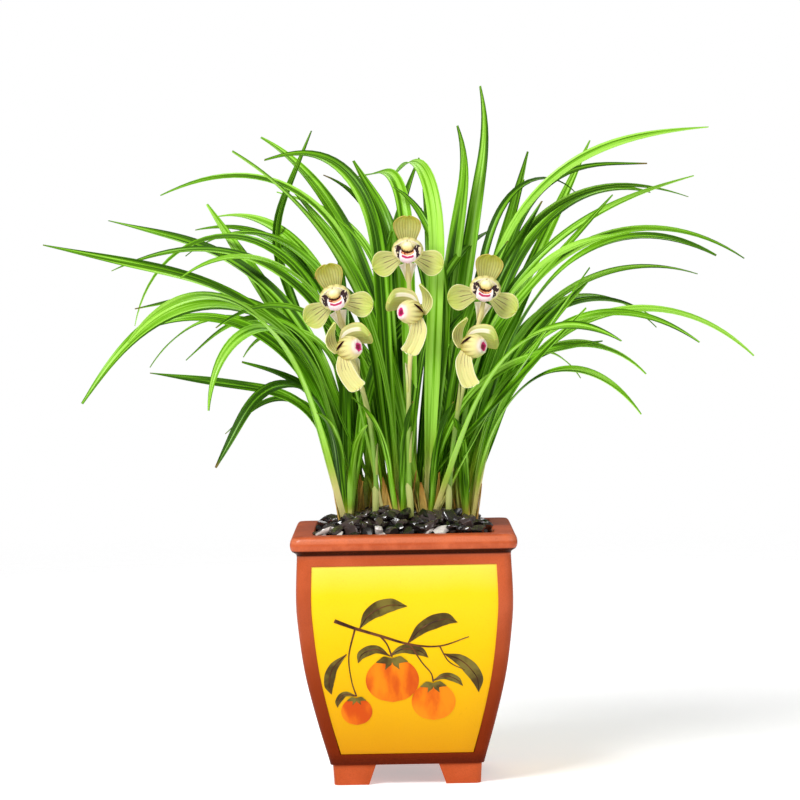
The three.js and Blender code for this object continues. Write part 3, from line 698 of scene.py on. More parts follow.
THIN_LEAVES = [
    ("LA", 162, 8, 200, 9, 120, 0.3, 0.9, 7), ("LA", 180, 1, 305, 11, 125, 0.15, 1.3, 10),
    ("LC", 132, 0, 430, 8, 90, 0.1, 1.1, 7), ("LC", 183, 5, 250, 11, 170, 0.45, 1.2, 6),
    ("LC", 200, 8, 200, 17, 55, 0.25, 0.95, 11), ("CA", 138, 0, 435, 10, 130, 0.15, 1.3, 7),
    ("CA", 177, 6, 305, 21, 110, 0.45, 0.95, 7), ("CA", 211, 7, 365, 13, 140, 0.3, 1.3, 8),
    ("CA", 218, 5, 320, 9, 125, 0.2, 1.2, 6), ("CB", 103, 6, 275, 11, -55, 0.7, 0.95, 12),
    ("CC", 71, 6, 315, 23, -60, 0.2, 1.3, 13), ("CD", 31, 8, 315, 11, 25, 0, 1.05, 13),
    ("CD", 127, 7, 335, -12, 110, 0.4, 1.3, 8), ("CD", 345, 7, 285, 27, 140, 0.3, 1.3, 7),
    ("BC", 16, 8, 455, 19, 90, 0.4, 1.05, 5), ("BC", 38, 7, 410, 19, 170, 0.6, 1.25, 6),
    ("BC", 140, 8, 380, 5, 70, 0.4, 0.95, 6), ("BC", 163, 1, 340, 5, 105, 0.6, 1.3, 7),
    ("BC", 173, 8, 455, 10, 105, 0.4, 1.05, 7), ("RA", 8, 7, 245, 8, 20, 0.1, 0.6, 13),
    ("RA", 62, 7, 360, 14, 20, 0.1, 0.4, 5), ("RB", 27, 7, 390, 10, 110, 0, 1.3, 5),
    ("RB", 42, 8, 375, 13, 120, 0, 1.3, 6), ("RB", 44, 6, 395, 12, 130, 0, 1.3, 6),
    ("RB", 63, 4, 365, 0, 100, 0, 1.3, 10), ("RC", 42, 7, 270, 10, 110, 0, 1.3, 7),
    ("RC", 57, 8, 295, 11, 135, 0, 1.3, 5), ("RC", 315, 8, 290, 12, 145, 0, 1.3, 6),
]
FRONT_LEAVES = [
    ("CB", 286, 7, 118, 9, 34, 0.3, 1.1, 8), ("CB", 232, 7, 135, 13, 50, 0.3, 1.1, 8),
    ("CD", 296, 7, 122, 12, 40, 0.3, 1.1, 8), ("LA", 292, 8, 104, 10, 55, 0.3, 1.1, 8),
    ("RC", 258, 8, 112, 9, 60, 0.3, 1.1, 8), ("LA", 250, 7, 130, 12, 70, 0.3, 1.1, 8),
]
# two inner leaves stand in each of these shoots, with a row drawn from these ranges
INNER_SHOOTS = ("LA", "LB", "CB", "CC", "CD", "RA", "RB", "RC")
INNER_RANGES = ((20, 160), (1, 7), (230, 350), (2, 13), (25, 110), (0.2, 0.5), (0.95, 1.3), (7, 11))


def soft_step(value, low, high):
    t = np.clip((value - low) / (high - low), 0, 1)
    return t * t * (3 - 2 * t)


def leaf_point(row, bend_seed):
    """The shape of one leaf's skin, for sheet."""
    shoot, turn, seat, length, lean, droop, bend_from, bend_to, width = row
    shares = np.linspace(0, 1, LEAF_COURSE_STEPS + 1)
    middle = (shares[1:] + shares[:-1]) / 2
    angle = np.radians(lean + droop * soft_step(middle, bend_from, bend_to))
    reach = np.concatenate([[0], np.cumsum(np.sin(angle))]) * length / LEAF_COURSE_STEPS
    rise = np.concatenate([[0], np.cumsum(np.cos(angle))]) * length / LEAF_COURSE_STEPS
    cos_turn, sin_turn = math.cos(math.radians(turn)), math.sin(math.radians(turn))
    tilt = -math.radians(LEAF_TILT) * cos_turn
    foot = SHOOTS[shoot]

    def shape(side, share):
        a = np.radians(lean + droop * soft_step(share, bend_from, bend_to))
        sway = 0.16 * np.sin(5 * share + bend_seed) * soft_step(share, 0.3, 0.6)
        roll = tilt * soft_step(share, 0.02, 0.35) + sway
        swell = 0.5 + 0.5 * soft_step(share, 0, 0.35) - 0.12 * soft_step(share, 0.55, 0.9)
        point = np.clip(1 - soft_step(share, 0.66, 1.04) ** 1.6, 0, 1) ** 0.68
        half = (1.2 + width / 2) * swell * np.clip(point, 0.02, 1)
        fold = 0.62 - 0.3 * soft_step(share, 0, 0.3)
        ripple = 0.05 * width * np.sin(17 * share + 3 * bend_seed + 1.5 * side)
        wave = ripple * side**2 * soft_step(share, 0.3, 0.7)
        u = side * half * (1 - 0.12 * fold)
        v = fold * half * np.abs(side) ** 1.25 + wave
        # u runs across the leaf and v off its upper side, both turned by the roll
        cos_r, sin_r = np.cos(roll), np.sin(roll)
        lifted = v * cos_r - u * sin_r
        across = u * cos_r + v * sin_r
        x = seat + np.interp(share, shares, reach) - np.cos(a) * lifted
        z = np.interp(share, shares, rise) + np.sin(a) * lifted
        return (foot[0] + x * cos_turn - across * sin_turn, foot[1] + x * sin_turn + across * cos_turn,
                LEAF_FOOT_HEIGHT + z)
    return shape


leaf_green = Finish("leaf_green", Specular_IOR_Level=0.08, Coat_Roughness=0.3)
across, along = leaf_green.grid()
tone = leaf_green.mark("tone")
blotch = leaf_green.place.noise(14, 3)
veins = (across * 34).stripes()
rib = across.size().below(0.02, 0.1)
# lengthwise streaks of lighter and darker green: partly the leaf's own streaking and partly painted sheen and
# shade along the blade; they also set where its coat shines
stretched = {0: across * 2.2, 1: along * 2.5, 2: tone * 30}
streaks_and_sheen = leaf_green.start.node("ShaderNodeCombineXYZ", None, stretched).noise(1, 2)
# painted light: each leaf is lighter over its lower part, which brightens the shaded low middle of the clump
shade = tone * 0.55 + blotch * 0.3 + streaks_and_sheen * 2 - along.between(0.1, 0.5) * 0.24
shade = (shade - 0.74).between(0.0, 1.0)
green = shade.between(0.0, 0.55).blend(paint(4, 54, 0), paint(110, 176, 10))
green = shade.between(0.4, 1.0).blend(green, paint(178, 236, 92))
green = (veins * 0.2).blend(green, paint(150, 218, 50))
green = (rib * 0.35).blend(green, paint(140, 208, 64))
yellow = (along + blotch * 0.06 - tone * 0.05).below(0.05, 0.22)
green = (yellow * 0.8).blend(green, paint(172, 196, 46))
cream = tone.between(0.2, 1.0).blend(paint(194, 190, 54), paint(255, 246, 164))
green = (along + veins * 0.02 - tone * 0.05).below(0.03, 0.12).blend(green, cream)
dry = (along - tone * 0.12).between(0.96, 0.99)
leaf_green.set("Base Color", (dry * 0.8).blend(green, paint(134, 104, 52)))
leaf_green.set("Roughness", 0.34 + 0.16 * blotch)
leaf_green.set("Coat Weight", streaks_and_sheen.between(0.5, 0.66) * 0.5)
leaf_green.bump(veins + rib, 0.0005, 0.35)


def grow_leaf(name, row, *nodes, tone_kept_in_shade=1.0):
    made = sheet(name, *LEAF_GRID, leaf_point(row, chance.uniform(0, 6)))
    spread = math.copysign(abs(chance.uniform(-1, 1)) ** 0.9, chance.uniform(-1, 1))
    mark_points(made.data, "tone", tone_kept_in_shade * (0.5 + 0.5 * spread))
    settle(thicken(made, LEAF_THICK), "leaf", leaf_green, *nodes)


for i, row in enumerate(LEAVES):
    grow_leaf(f"long_leaf_{i + 1:02d}", row, f"leaf_{i + 1:02d}")
for i, row in enumerate(THIN_LEAVES):
    grow_leaf(f"thin_leaf_{i + 1:02d}", row)
for i, row in enumerate(FRONT_LEAVES):
    grow_leaf(f"front_leaf_{i + 1:02d}", row)
# inner leaves get a darker tone, as painted shade inside the clump
for i in range(2 * len(INNER_SHOOTS)):
    row = (INNER_SHOOTS[i // 2], *(chance.uniform(low, high) for low, high in INNER_RANGES))
    grow_leaf(f"inner_leaf_{i + 1:02d}", row, tone_kept_in_shade=0.45)

# ---------------------------------------------------------------------------- sheaths
# Six sheaths wrap the foot of each fan, two still green and four dry. They are the plant's own
# first short leaves, now papery: cream at the foot, straw brown at the tip and standing away there.
SHEATH_SUNK = 12
SHEATH_THICK = 0.4
sheath_paper = Finish("sheath_paper", Roughness=0.6, Specular_IOR_Level=0.3)
along = sheath_paper.map.part(1)
tone = sheath_paper.mark("tone")
fibres = sheath_paper.place.noise(700, 3, (1, 1, 0.06))
young = along.between(0.2, 0.9).blend(paint(240, 226, 138), paint(160, 196, 60))
old = (along * 0.8 + fibres * 0.6).between(0.3, 1.2).blend(paint(248, 214, 116), paint(196, 140, 56))
husk = tone.between(0.1, 0.4).blend(young, old)
husk = (fibres.between(0.5, 0.7) * (0.15 + tone * 0.35)).blend(husk, paint(112, 76, 34))
sheath_paper.set("Base Color", husk)
sheath_paper.bump(fibres, 0.0006, 0.6)


def sheath_point(centre, turn, foot, length, wrap, radius, flare):
    """One sheath: a tapering shell that wraps round a fan from a height, for sheet."""
    def shape(side, share):
        taper = np.clip(1 - share, 0, 1) ** 0.75 * (1 - 0.25 * share)
        angle = math.radians(turn) + side * math.radians(wrap) * np.clip(taper, 0.03, 1)
        reach = radius * (0.8 + 0.35 * np.sin(math.pi * np.clip(share, 0, 1) * 0.6)) + flare * share**2
        reach = reach + 0.3 * np.sin(9 * side + 5 * share)
        return (centre[0] + reach * np.cos(angle), centre[1] + 0.8 * reach * np.sin(angle),
                foot + length * share)
    return shape


count = 0
for shoot, centre in SHOOTS.items():
    # turn, length, half of the angle it wraps, radius, how far its tip stands off, tone
    sizes = [(chance.uniform(0, 180), chance.uniform(24, 46), chance.uniform(55, 80),
              chance.uniform(7.4, 8.4), 1.0, 0.05) for _ in range(2)]
    sizes += [(90 * k + chance.uniform(-30, 30), chance.uniform(16, 38), chance.uniform(22, 40),
               chance.uniform(8.4, 9.6), chance.uniform(2, 7), chance.uniform(0.4, 1.0)) for k in range(4)]
    for turn, length, wrap, radius, flare, tone in sizes:
        count += 1
        foot = float(mound_height(*centre)) - SHEATH_SUNK
        shape = sheath_point(centre, turn, foot, length + SHEATH_SUNK, wrap, radius, flare)
        made = sheet(f"sheath_{count:02d}", 10, 14, shape)
        mark_points(made.data, "tone", tone)
        settle(thicken(made, SHEATH_THICK, -1), "bulb", sheath_paper)

# ---------------------------------------------------------------------------- flower stems
# Each clump sends up one round, fleshy stem from a bud beside its bulbs. It is straw-coloured and
# pale green, and thin papery bracts clasp it at each joint.
# A stem's line: x, y and height of points that it runs through, from the bulbs to its tip.
SPIKES = {
    "left": [(-26, -24, 214), (-24, -33, 270), (-29, -44, 328), (-40, -52, 370), (-54, -58, 419)],
    "middle": [(8, -40, 214), (6, -45, 280), (7, -50, 350), (10, -55, 404), (8, -59, 462)],
    "right": [(40, -30, 214), (43, -38, 275), (50, -46, 328), (61, -53, 372), (74, -58, 425)],
}
# a stem's bracts: the share of its length where each clasps it, and their lengths
STEM_BRACTS = [(0.08, 36), (0.3, 28), (0.55, 26)]
BRACT_WRAP = 125
BRACT_THICK = 0.35
spike_lines = {side_name: smooth_course(points, 90) for side_name, points in SPIKES.items()}


def frames_along(line):
    """Unit tangents of a line of points, with two normals each that don't twist."""
    tangents = unit(np.gradient(line, axis=0))
    first = unit(np.cross(tangents, (0.0, 1.0, 0.0)))
    return tangents, first, np.cross(tangents, first)


def round_stem(name, line, radius, ribs=0.0):
    """A closed round stem along a line, with a radius for each share of its length."""
    rows = np.hstack([line, *frames_along(line)[1:]])

    def shape(side, share):
        angle = (side + 1) * math.pi
        thick = radius(share) * (1 + ribs * np.cos(6 * angle))
        middle, first, second = np.split(at_share(rows, share), 3)
        return middle + thick * (np.cos(angle) * first + np.sin(angle) * second)
    made = sheet(name, 14, len(line), shape)
    edit(made)
    bpy.ops.mesh.remove_doubles(threshold=0.01 * MM)
    bpy.ops.mesh.select_all(action="DESELECT")
    bpy.ops.mesh.select_mode(type="EDGE")
    bpy.ops.mesh.select_non_manifold()
    bpy.ops.mesh.edge_face_add()
    close()
    smooth(made, 60)
    return made


def share_of(line, share):
    """The place in a line's list of points that lies at a share of its length."""
    steps = np.linalg.norm(np.diff(line, axis=0), axis=1)
    return int(np.searchsorted(np.cumsum(steps) / steps.sum(), share))


def stem_radius(share):
    """A stem's radius, a little thinner towards its tip and thicker at each joint."""
    return 2.2 - 0.2 * share + 0.25 * np.exp(-((share % 0.21) / 0.02) ** 2)


stem_skin = Finish("stem_skin", Roughness=0.42)
fleck = stem_skin.place.noise(300, 3, (1, 1, 0.25))
stem = stem_skin.place.part(2).between(0.29, 0.39).blend(paint(124, 172, 50), paint(232, 218, 150))
stem = (fleck.between(0.52, 0.75) * 0.3).blend(stem, paint(176, 150, 100))
stem_skin.set("Base Color", stem)
stem_skin.bump(fleck, 0.0004, 0.4)
# a faint glow of its own colour is painted on a bract that is clear of the leaves, standing for light through
# its thin paper
bract_paper = Finish("bract_paper", Roughness=0.55, Specular_IOR_Level=0.3, Emission_Strength=0.2)
across, along = bract_paper.grid()
lines = (across * 26).stripes()
bract = (along + lines * 0.25).between(0.1, 0.8).blend(paint(226, 220, 140), paint(248, 240, 226))
bract = (lines * 0.25).blend(bract, paint(206, 190, 164))
low = bract_paper.place.part(2).below(0.34, 0.42)
bract_paper.set("Base Color", (low * 0.85).blend(bract, paint(182, 196, 88)))
bract_paper.set("Emission Color", low.blend(bract, paint(0, 0, 0)))
bract_paper.bump(lines, 0.0003, 0.4)


def bract_on(name, line, share, turn, length, radius, flare, open_from=0.0):
    """A bract that clasps a stem at a share of its length and narrows from a share of its own."""
    foot = share_of(line, share)
    tangent, first, second = (way[foot][:, None] for way in frames_along(line))

    def shape(side, along_it):
        wide = np.sqrt(np.clip((1 - along_it) / (1 - open_from), 0, 1)) * (0.8 + 0.5 * along_it)
        angle = math.radians(turn) + side * math.radians(BRACT_WRAP) * np.clip(wide, 0.04, 1)
        reach = radius + flare * along_it**1.2
        off = np.cos(angle) * first + np.sin(angle) * second
        return line[foot][:, None] + length * along_it * tangent + reach * off
    settle(thicken(sheet(name, 10, 12, shape), BRACT_THICK, -1), "spike", bract_paper)


for side_name, line in spike_lines.items():
    spike = round_stem("flower_stem_" + side_name, line, stem_radius)
    settle(spike, "spike", stem_skin, "flower_spike_" + side_name)
    for j, (share, length) in enumerate(STEM_BRACTS):
        bract_on(f"stem_bract_{side_name}_{j + 1}", line, share, 60 + 140 * j, length, 2.5, 1.4)

# ---------------------------------------------------------------------------- flowers
# Two flowers open on each stem, the upper one facing the front and the lower one to the side.
# Each has three broad pale green sepals, two cream petals closed into a round hood over a fat
# yellow column, and a white and rose lip that rolls down, all on a curved stalk.
# A row: stem, middle, turn, lean, nod, share of the stem's length where its stalk leaves.
FLOWERS = {
    "left_upper": ("left", (-57, -68, 434.5), 0, -13, 8, 1.0),
    "left_lower": ("left", (-45, -80, 389), 62, -8, -11, 0.76),
    "middle_upper": ("middle", (8, -69, 475), 0, 0, 8, 1.0),
    "middle_lower": ("middle", (9.6, -80, 420), -62, 4, -3, 0.8),
    "right_upper": ("right", (76, -68, 440), 0, 11, 8, 1.0),
    "right_lower": ("right", (64.5, -80, 389), 62, 6, 1, 0.8),
}
# the two hoods' half width, half depth and half height, the middle of each and its mouth, which
# opens at a share of its half depth
UPPER_HOOD = ((14, 10, 11.5), (-4, 0), 0.64)
LOWER_HOOD = ((10.4, 13, 10.8), (0, 0), 0.86)
LOWER_TURN = 14
SEPAL_THICK, LOBE_THICK, LIP_THICK, HOOD_THICK = 0.7, 0.6, 0.8, 0.9
TOP_SEPAL_HALF, TOP_SEPAL_LENGTH = 12.3, 31
SIDE_SEPAL_HALF, SIDE_SEPAL_LENGTH, SIDE_SEPAL_FALL = 11.6, 28.5, 20
COLUMN_HALF = (5.2, 4, 4.4)
COLUMN_PLACE = (-9.8, 3.6)
LOBE_HALF, LOBE_HEIGHT = 3.1, 11
BOWL_HALF = (5.3, 6.2)
GAP_HALF = 1.15
GAP_ACROSS = (0.36, 0.74, 0.57)
GAP_LINE = [(-8.5, 7.5, 0.4), (-9.3, 4.2, 3.2), (-9, 1.2, 5.6), (-7.9, -1.4, 7.6)]
# the lip's middle line, depth and height, and its half widths
LIP_LINE = [(-8, 0.2), (-12.6, -1.4), (-15, -3.4), (-16.2, -5.8), (-15.8, -8.2), (-14.2, -10)]
LIP_HALVES = (5.5, 6.6, 7.2, 7.3, 6.3, 2.2)


def tissue(name, foot, end, rim, vein, vein_count, vein_strength, streak_end=0.0, ridge=False):
    """A sepal's finish: veins along it, a pale rim and, if asked, brown streaks or a cream ridge with painted
    shade beside it.
    """
    made = Finish(name, Specular_IOR_Level=0.35, Subsurface_Weight=0.1, Subsurface_Scale=0.002)
    across, along = made.grid()
    lines = (across * vein_count).stripes() ** 3
    cells = made.place.noise(600, 3)
    patches = made.place.noise(150, 2)
    skin = (along + (patches - 0.5) * 0.5).between(0.1, 0.9).blend(foot, end)
    skin = (lines * vein_strength * (1.2 - along)).blend(skin, vein)
    if ridge:
        # painted shade: the sepal from one edge up to near the ridge is greyed, as shade in its hollow
        skin = (across.below(0.25, 0.4) * 0.3).blend(skin, paint(150, 152, 88))
        crest = (across - 0.5).size().below(0.1, 0.2) * along.below(0.5, 0.68)
        skin = crest.blend(skin, paint(250, 240, 214))
    if streak_end:
        streak = (across * 15 + along * 2 + cells).wave().between(0.8, 0.98) * across.size().below(0.4, 0.6)
        streak = streak * (along + cells * 0.2 - 0.1).below(streak_end - 0.14, streak_end)
        skin = (streak * 0.8).blend(skin, paint(98, 48, 42))
    edge = across.size().between(0.9, 1.0)
    tip = along.between(0.965, 1.0)
    made.set("Base Color", edge.sum("MAXIMUM", edge, tip).blend(skin, rim))
    made.set("Roughness", 0.45 + 0.15 * cells)
    made.bump(lines * 0.6 + cells * 0.5, 0.0006, 0.4)
    return made


top_tissue = tissue("top_sepal_tissue", paint(206, 206, 130), paint(172, 170, 44), paint(200, 178, 84),
                    paint(122, 108, 22), 30, 0.6)
side_tissue = tissue("side_sepal_tissue", paint(212, 210, 136), paint(196, 208, 94), paint(240, 236, 168),
                     paint(160, 166, 76), 26, 0.35, 0.52)
hanging_tissue = tissue("hanging_sepal_tissue", paint(220, 212, 140), paint(226, 222, 142),
                        paint(244, 240, 196), paint(184, 172, 92), 20, 0.22, 0.36)
arch_tissue = tissue("arch_sepal_tissue", paint(214, 208, 140), paint(186, 198, 92), paint(214, 200, 110),
                     paint(160, 166, 76), 26, 0.35, ridge=True)

# the hood's two petals: outside, and the spotted inside that shows in its mouth
hood_skin = Finish("hood_skin", Specular_IOR_Level=0.35, Subsurface_Weight=0.1, Subsurface_Scale=0.002)
front = hood_skin.mark("front")
cells = hood_skin.place.noise(500, 3)
stripes = (hood_skin.mark("round") * 14 + (cells - 0.5)).stripes() ** 2.2 * front.below(-0.1, 0.7)
petal = front.between(-0.9, 0.5).blend(paint(194, 176, 72), paint(234, 224, 150))
petal = front.between(0.45, 0.95).blend(petal, paint(238, 208, 172))
petal = (stripes * 0.75).blend(petal, paint(136, 108, 30))
hood_skin.set("Base Color", hood_skin.mark("rim").blend(petal, paint(246, 230, 214)))
hood_skin.set("Roughness", 0.45 + 0.15 * cells)
hood_skin.bump(stripes + cells * 0.5, 0.0006, 0.35)
hood_lining = Finish("hood_lining", Roughness=0.5, Specular_IOR_Level=0.3)
freckles = hood_lining.place.noise(330, 3)
near_mouth = hood_lining.mark("front").between(0.1, 0.6)
# deeper inside the hood the lining is greener and darker: partly its own colour, partly painted shade in the
# hood's hollow
lining = near_mouth.blend(paint(214, 200, 110), paint(250, 240, 186))
spots = freckles.between(0.6, 0.64) * (1 - near_mouth)
hood_lining.set("Base Color", spots.blend(lining, paint(150, 70, 50)))
hood_lining.bump(freckles, 0.0004, 0.3)

# the petals' inner faces, which meet in a fold over the column
brow_skin = Finish("inner_petal_skin", Roughness=0.5, Specular_IOR_Level=0.3)
across, along = brow_skin.grid()
lines = (across * 22).stripes()
brow = along.between(0.2, 0.95).blend(paint(214, 204, 112), paint(244, 232, 190))
brow = (lines * 0.25).blend(brow, paint(190, 184, 92))
fold = across.size().below(0.03, 0.12)
# painted shade: the fold where the two petals meet is darkened
brow_skin.set("Base Color", (fold * 0.5).blend(brow, paint(160, 150, 64)))
brow_skin.bump(lines - fold, 0.0005, 0.4)

# the column with its pale cap, brown below, and the lip's two side lobes with their dark blotches
column_skin = Finish("column_skin", Roughness=0.42, Specular_IOR_Level=0.4)
lift = column_skin.mark("lift")
grain = column_skin.place.noise(420, 3)
cap = (lift + grain * 0.4).between(-0.1, 0.9).blend(paint(248, 222, 140), paint(252, 248, 200))
under = (lift + (grain - 0.5) * 1.2).below(-0.9, -0.8)
column_skin.set("Base Color", under.blend(cap, paint(84, 22, 14)))
column_skin.bump(grain, 0.0004, 0.4)
lobe_skin = Finish("side_lobe_skin", Roughness=0.45, Specular_IOR_Level=0.4)
blotch = lobe_skin.place.noise(520, 3, (1, 1, 0.55)) + (lobe_skin.map.part(0) - 0.55) * 0.22
lobe_skin.set("Base Color", blotch.between(0.56, 0.6).blend(paint(44, 4, 12), paint(246, 228, 186)))
lobe_skin.bump(blotch, 0.0005, 0.4)

# the dark throat where it shows between a hood's petals: its maroon marks and painted shade, on a sheet over
# the seam
gap_marks_and_shade = Finish("petal_gap_marks_and_shade", Roughness=0.7, Specular_IOR_Level=0.1)
gap_marks_and_shade.set("Base Color", gap_marks_and_shade.place.noise(900, 2).blend(paint(22, 5, 8), paint(60, 16, 20)))

# the lip: brown freckles in the throat, a rose bar, then white with a blush at the edge
lip_skin = Finish("lip_skin", Roughness=0.4, Specular_IOR_Level=0.4, Subsurface_Weight=0.1,
                  Subsurface_Scale=0.002)
across, along = lip_skin.grid()
freckles = lip_skin.place.noise(480, 3)
throat = freckles.between(0.52, 0.58).blend(paint(244, 176, 122), paint(150, 40, 24))
beard = (along + (freckles - 0.5) * 0.22 + across * across * 0.06).below(0.24, 0.28)
throat = beard.blend(throat, paint(66, 10, 8))
white = (along + freckles * 0.1).between(0.5, 1.0).blend(paint(252, 240, 240), paint(244, 206, 216))
bar = along + across * across * 0.07 + (freckles - 0.5) * 0.06
lip = bar.between(0.38, 0.44).blend(throat, white)
rose = bar.band(0.45, 0.48, 0.58, 0.63) * across.size().below(0.66, 0.78)
lip = rose.blend(lip, paint(192, 34, 92))
lip_skin.set("Base Color", across.size().between(0.8, 0.95).blend(lip, paint(252, 238, 238)))
lip_skin.bump(freckles, 0.0003, 0.3)
bowl_skin = Finish("lip_bowl_skin", Roughness=0.4, Specular_IOR_Level=0.4)
reach = bowl_skin.mark("reach") + (bowl_skin.place.noise(380, 3) - 0.5) * 0.5
bowl = reach.between(0.3, 0.5).blend(paint(140, 4, 62), paint(222, 30, 124))
bowl = reach.between(0.6, 0.7).blend(bowl, paint(250, 222, 224))
bowl_skin.set("Base Color", reach.between(0.8, 0.95).blend(bowl, paint(246, 228, 212)))
bowl_skin.bump(reach, 0.0004, 0.3)


def even_end(share):
    """Packs a grid's rows closer towards a round end."""
    return 1 - (1 - share) ** 1.7


def sepal_width(share, foot, widest):
    """Half width of a sepal, as a part of its widest: narrow at the foot and round at the end."""
    growing = foot + (1 - foot) * soft_step(share, 0, widest)
    closing = np.sqrt(np.clip(1 - ((share - widest) / (1 - widest)) ** 2, 0, 1))
    return np.where(share < widest, growing, closing)


def top_sepal(side, share):
    """The sepal over an upper flower's hood: a broad fan with a notch, tipped a little forward."""
    share = even_end(share)
    x = side * TOP_SEPAL_HALF * sepal_width(share, 0.44, 0.74)
    notch = np.exp(-((x / 1.3) ** 2)) * share**10
    cup = 3.4 * (x / TOP_SEPAL_HALF) ** 2 * soft_step(share, 0, 0.6)
    ripple = 0.4 * np.sin(7 * side) * share**3
    y = 3 + 2 * np.sin(0.62 * math.pi * share) - 3.5 * share**2.5 - cup + ripple
    return x, y, -1 + TOP_SEPAL_LENGTH * share - notch


def side_sepal(out):
    """A side sepal of an upper flower, shaped like a paddle, to the right (1) or the left (-1)."""
    fall = math.radians(-SIDE_SEPAL_FALL)

    def shape(side, share):
        share = even_end(share)
        w = side * SIDE_SEPAL_HALF * sepal_width(share, 0.34, 0.66)
        cup = 3.4 * (w / SIDE_SEPAL_HALF) ** 2 * share
        ripple = 0.5 * np.sin(8 * side + out) * share**4
        x = out * (4 + math.cos(fall) * SIDE_SEPAL_LENGTH * share) - out * math.sin(fall) * w
        z = -6 + math.sin(fall) * SIDE_SEPAL_LENGTH * share + math.cos(fall) * w
        y = 1.5 + 2 * np.sin(math.pi * share) - cup - 3 * share**2 + ripple
        return x, y, z - ripple * 0.5
    return shape


def sepal_along(course, spans, halves, cup, ripple, out, blunt=0.8):
    """A sepal of a lower flower: its middle line, width directions, half widths and cupping."""
    count = 60
    line, span = smooth_course(course, count), unit(smooth_course(spans, count))
    wide = smooth_course([(half, i) for i, half in enumerate(halves)], count)[:, 0]
    normal = unit(np.cross(np.gradient(line, axis=0), span))
    rows = np.column_stack([line, span, normal, wide])

    def shape(side, share):
        share = even_end(share) * (1 - 0.02 * (1 + np.sin(9 * side)) * ripple)
        middle, across, upward, half = np.split(at_share(rows, share), (3, 6, 9))
        closing = np.sqrt(np.clip(1 - ((share - blunt) / (1 - blunt)) ** 2, 0, 1))
        half = half[0] * np.where(share < blunt, 1, closing)
        off = -cup * side**2 * soft_step(share, 0, 0.4) + ripple * 0.8 * np.sin(9 * side + 2) * share**4
        x, y, z = middle + side * half * across + off * upward
        return out * x, y, z
    return shape


def hood_petals(name, radii, centre, mouth):
    """The two petals, closed into a hood that opens in front at a share of its half depth."""
    made = begin(name, bpy.ops.mesh.primitive_uv_sphere_add, segments=40, ring_count=24, radius=1)
    edit(made, lambda face: face.calc_center_median().z > mouth)
    bpy.ops.mesh.delete(type="FACE")
    bpy.ops.object.mode_set(mode="OBJECT")
    co = np.array([v.co for v in made.data.vertices])
    around = np.arctan2(co[:, 1], co[:, 0])
    front = co[:, 2]
    seam = np.exp(-((around - math.pi / 2) / 0.16) ** 2) + 0.7 * np.exp(-((around + math.pi / 2) / 0.3) ** 2)
    rim = soft_step(front, mouth - 0.14, mouth - 0.02)
    near_rim = soft_step(front, mouth - 0.45, mouth)
    pinch = 1 - 0.16 * soft_step(-front, 0.45, 1)
    swell = 1 + 0.03 * np.cos(2 * around) * near_rim
    place_points(made, np.stack([
        radii[0] * co[:, 0] * swell * pinch * (1 - 0.04 * seam),
        centre[0] - radii[1] * front + 2.2 * seam * near_rim,
        centre[1] + radii[2] * co[:, 1] * swell * pinch * (1 - 0.08 * seam * near_rim)], 1))
    for mark, values in (("round", around), ("front", front), ("rim", rim)):
        mark_points(made.data, mark, values)
    edit(made)
    close()
    made.data.materials.append(hood_skin.material)
    made.data.materials.append(hood_lining.material)
    apply(made, "SOLIDIFY", thickness=HOOD_THICK * MM, offset=-1, material_offset=1, material_offset_rim=0)
    smooth(made, 60)
    return made


def column(name):
    """The column: a fat round cap on a short neck inside the hood."""
    made = begin(name, bpy.ops.mesh.primitive_uv_sphere_add, segments=28, ring_count=18, radius=1)
    co = np.array([v.co for v in made.data.vertices])
    neck = np.clip(-co[:, 1], -1, 0)
    cap = 1 + 0.04 * np.cos(3 * np.arctan2(co[:, 0], co[:, 2] + 1e-6))
    (wide, deep, high), (depth, height) = COLUMN_HALF, COLUMN_PLACE
    place_points(made, np.stack([wide * co[:, 0] * cap, depth + deep * (co[:, 1] - neck),
                                 height + high * co[:, 2] * cap], 1))
    mark_points(made.data, "lift", co[:, 2])
    smooth(made)
    return made


lip_rows = smooth_course(LIP_LINE, 40)


def lip_point(side, share):
    y, z = at_share(lip_rows, share)
    half = np.interp(share, np.linspace(0, 1, len(LIP_HALVES)), LIP_HALVES)
    trough = 2.6 * np.abs(side) ** 2.2 * (1 - soft_step(share, 0.45, 0.9))
    back = 2.2 * side**2 * soft_step(share, 0.4, 0.8)
    return side * half, y + back, z + trough + 0.25 * np.sin(9 * side) * share


def inner_petals(side, share):
    """The upper half of the hood's mouth, where the two petals' inner faces meet over the column."""
    z = -3 + 13 * share
    half = 10.6 * np.sqrt(np.clip(1 - (z / 10.2) ** 2, 0.002, 1))
    fold = np.exp(-((side / 0.1) ** 2)) * share
    y = -8.9 - 1.8 * (1 - side**2) * (1 - 0.5 * share) + 0.9 * fold
    return side * half, y, z + 0.3 * np.cos(3 * side) * share


def side_lobe(out):
    """One of the lip's side lobes, which stand up beside the column."""
    def shape(side, share):
        wide = LOBE_HALF * np.sqrt(np.clip(1 - (2 * share - 1) ** 4, 0, 1))
        x = out * (7.4 + 1.6 * share + side * wide)
        y = -12.6 + 0.6 * np.abs(x) ** 2 / 36 + 0.5 * np.sin(7 * share + side)
        return x, y, -LOBE_HEIGHT / 2 + LOBE_HEIGHT * share - 0.12 * side * wide
    return shape


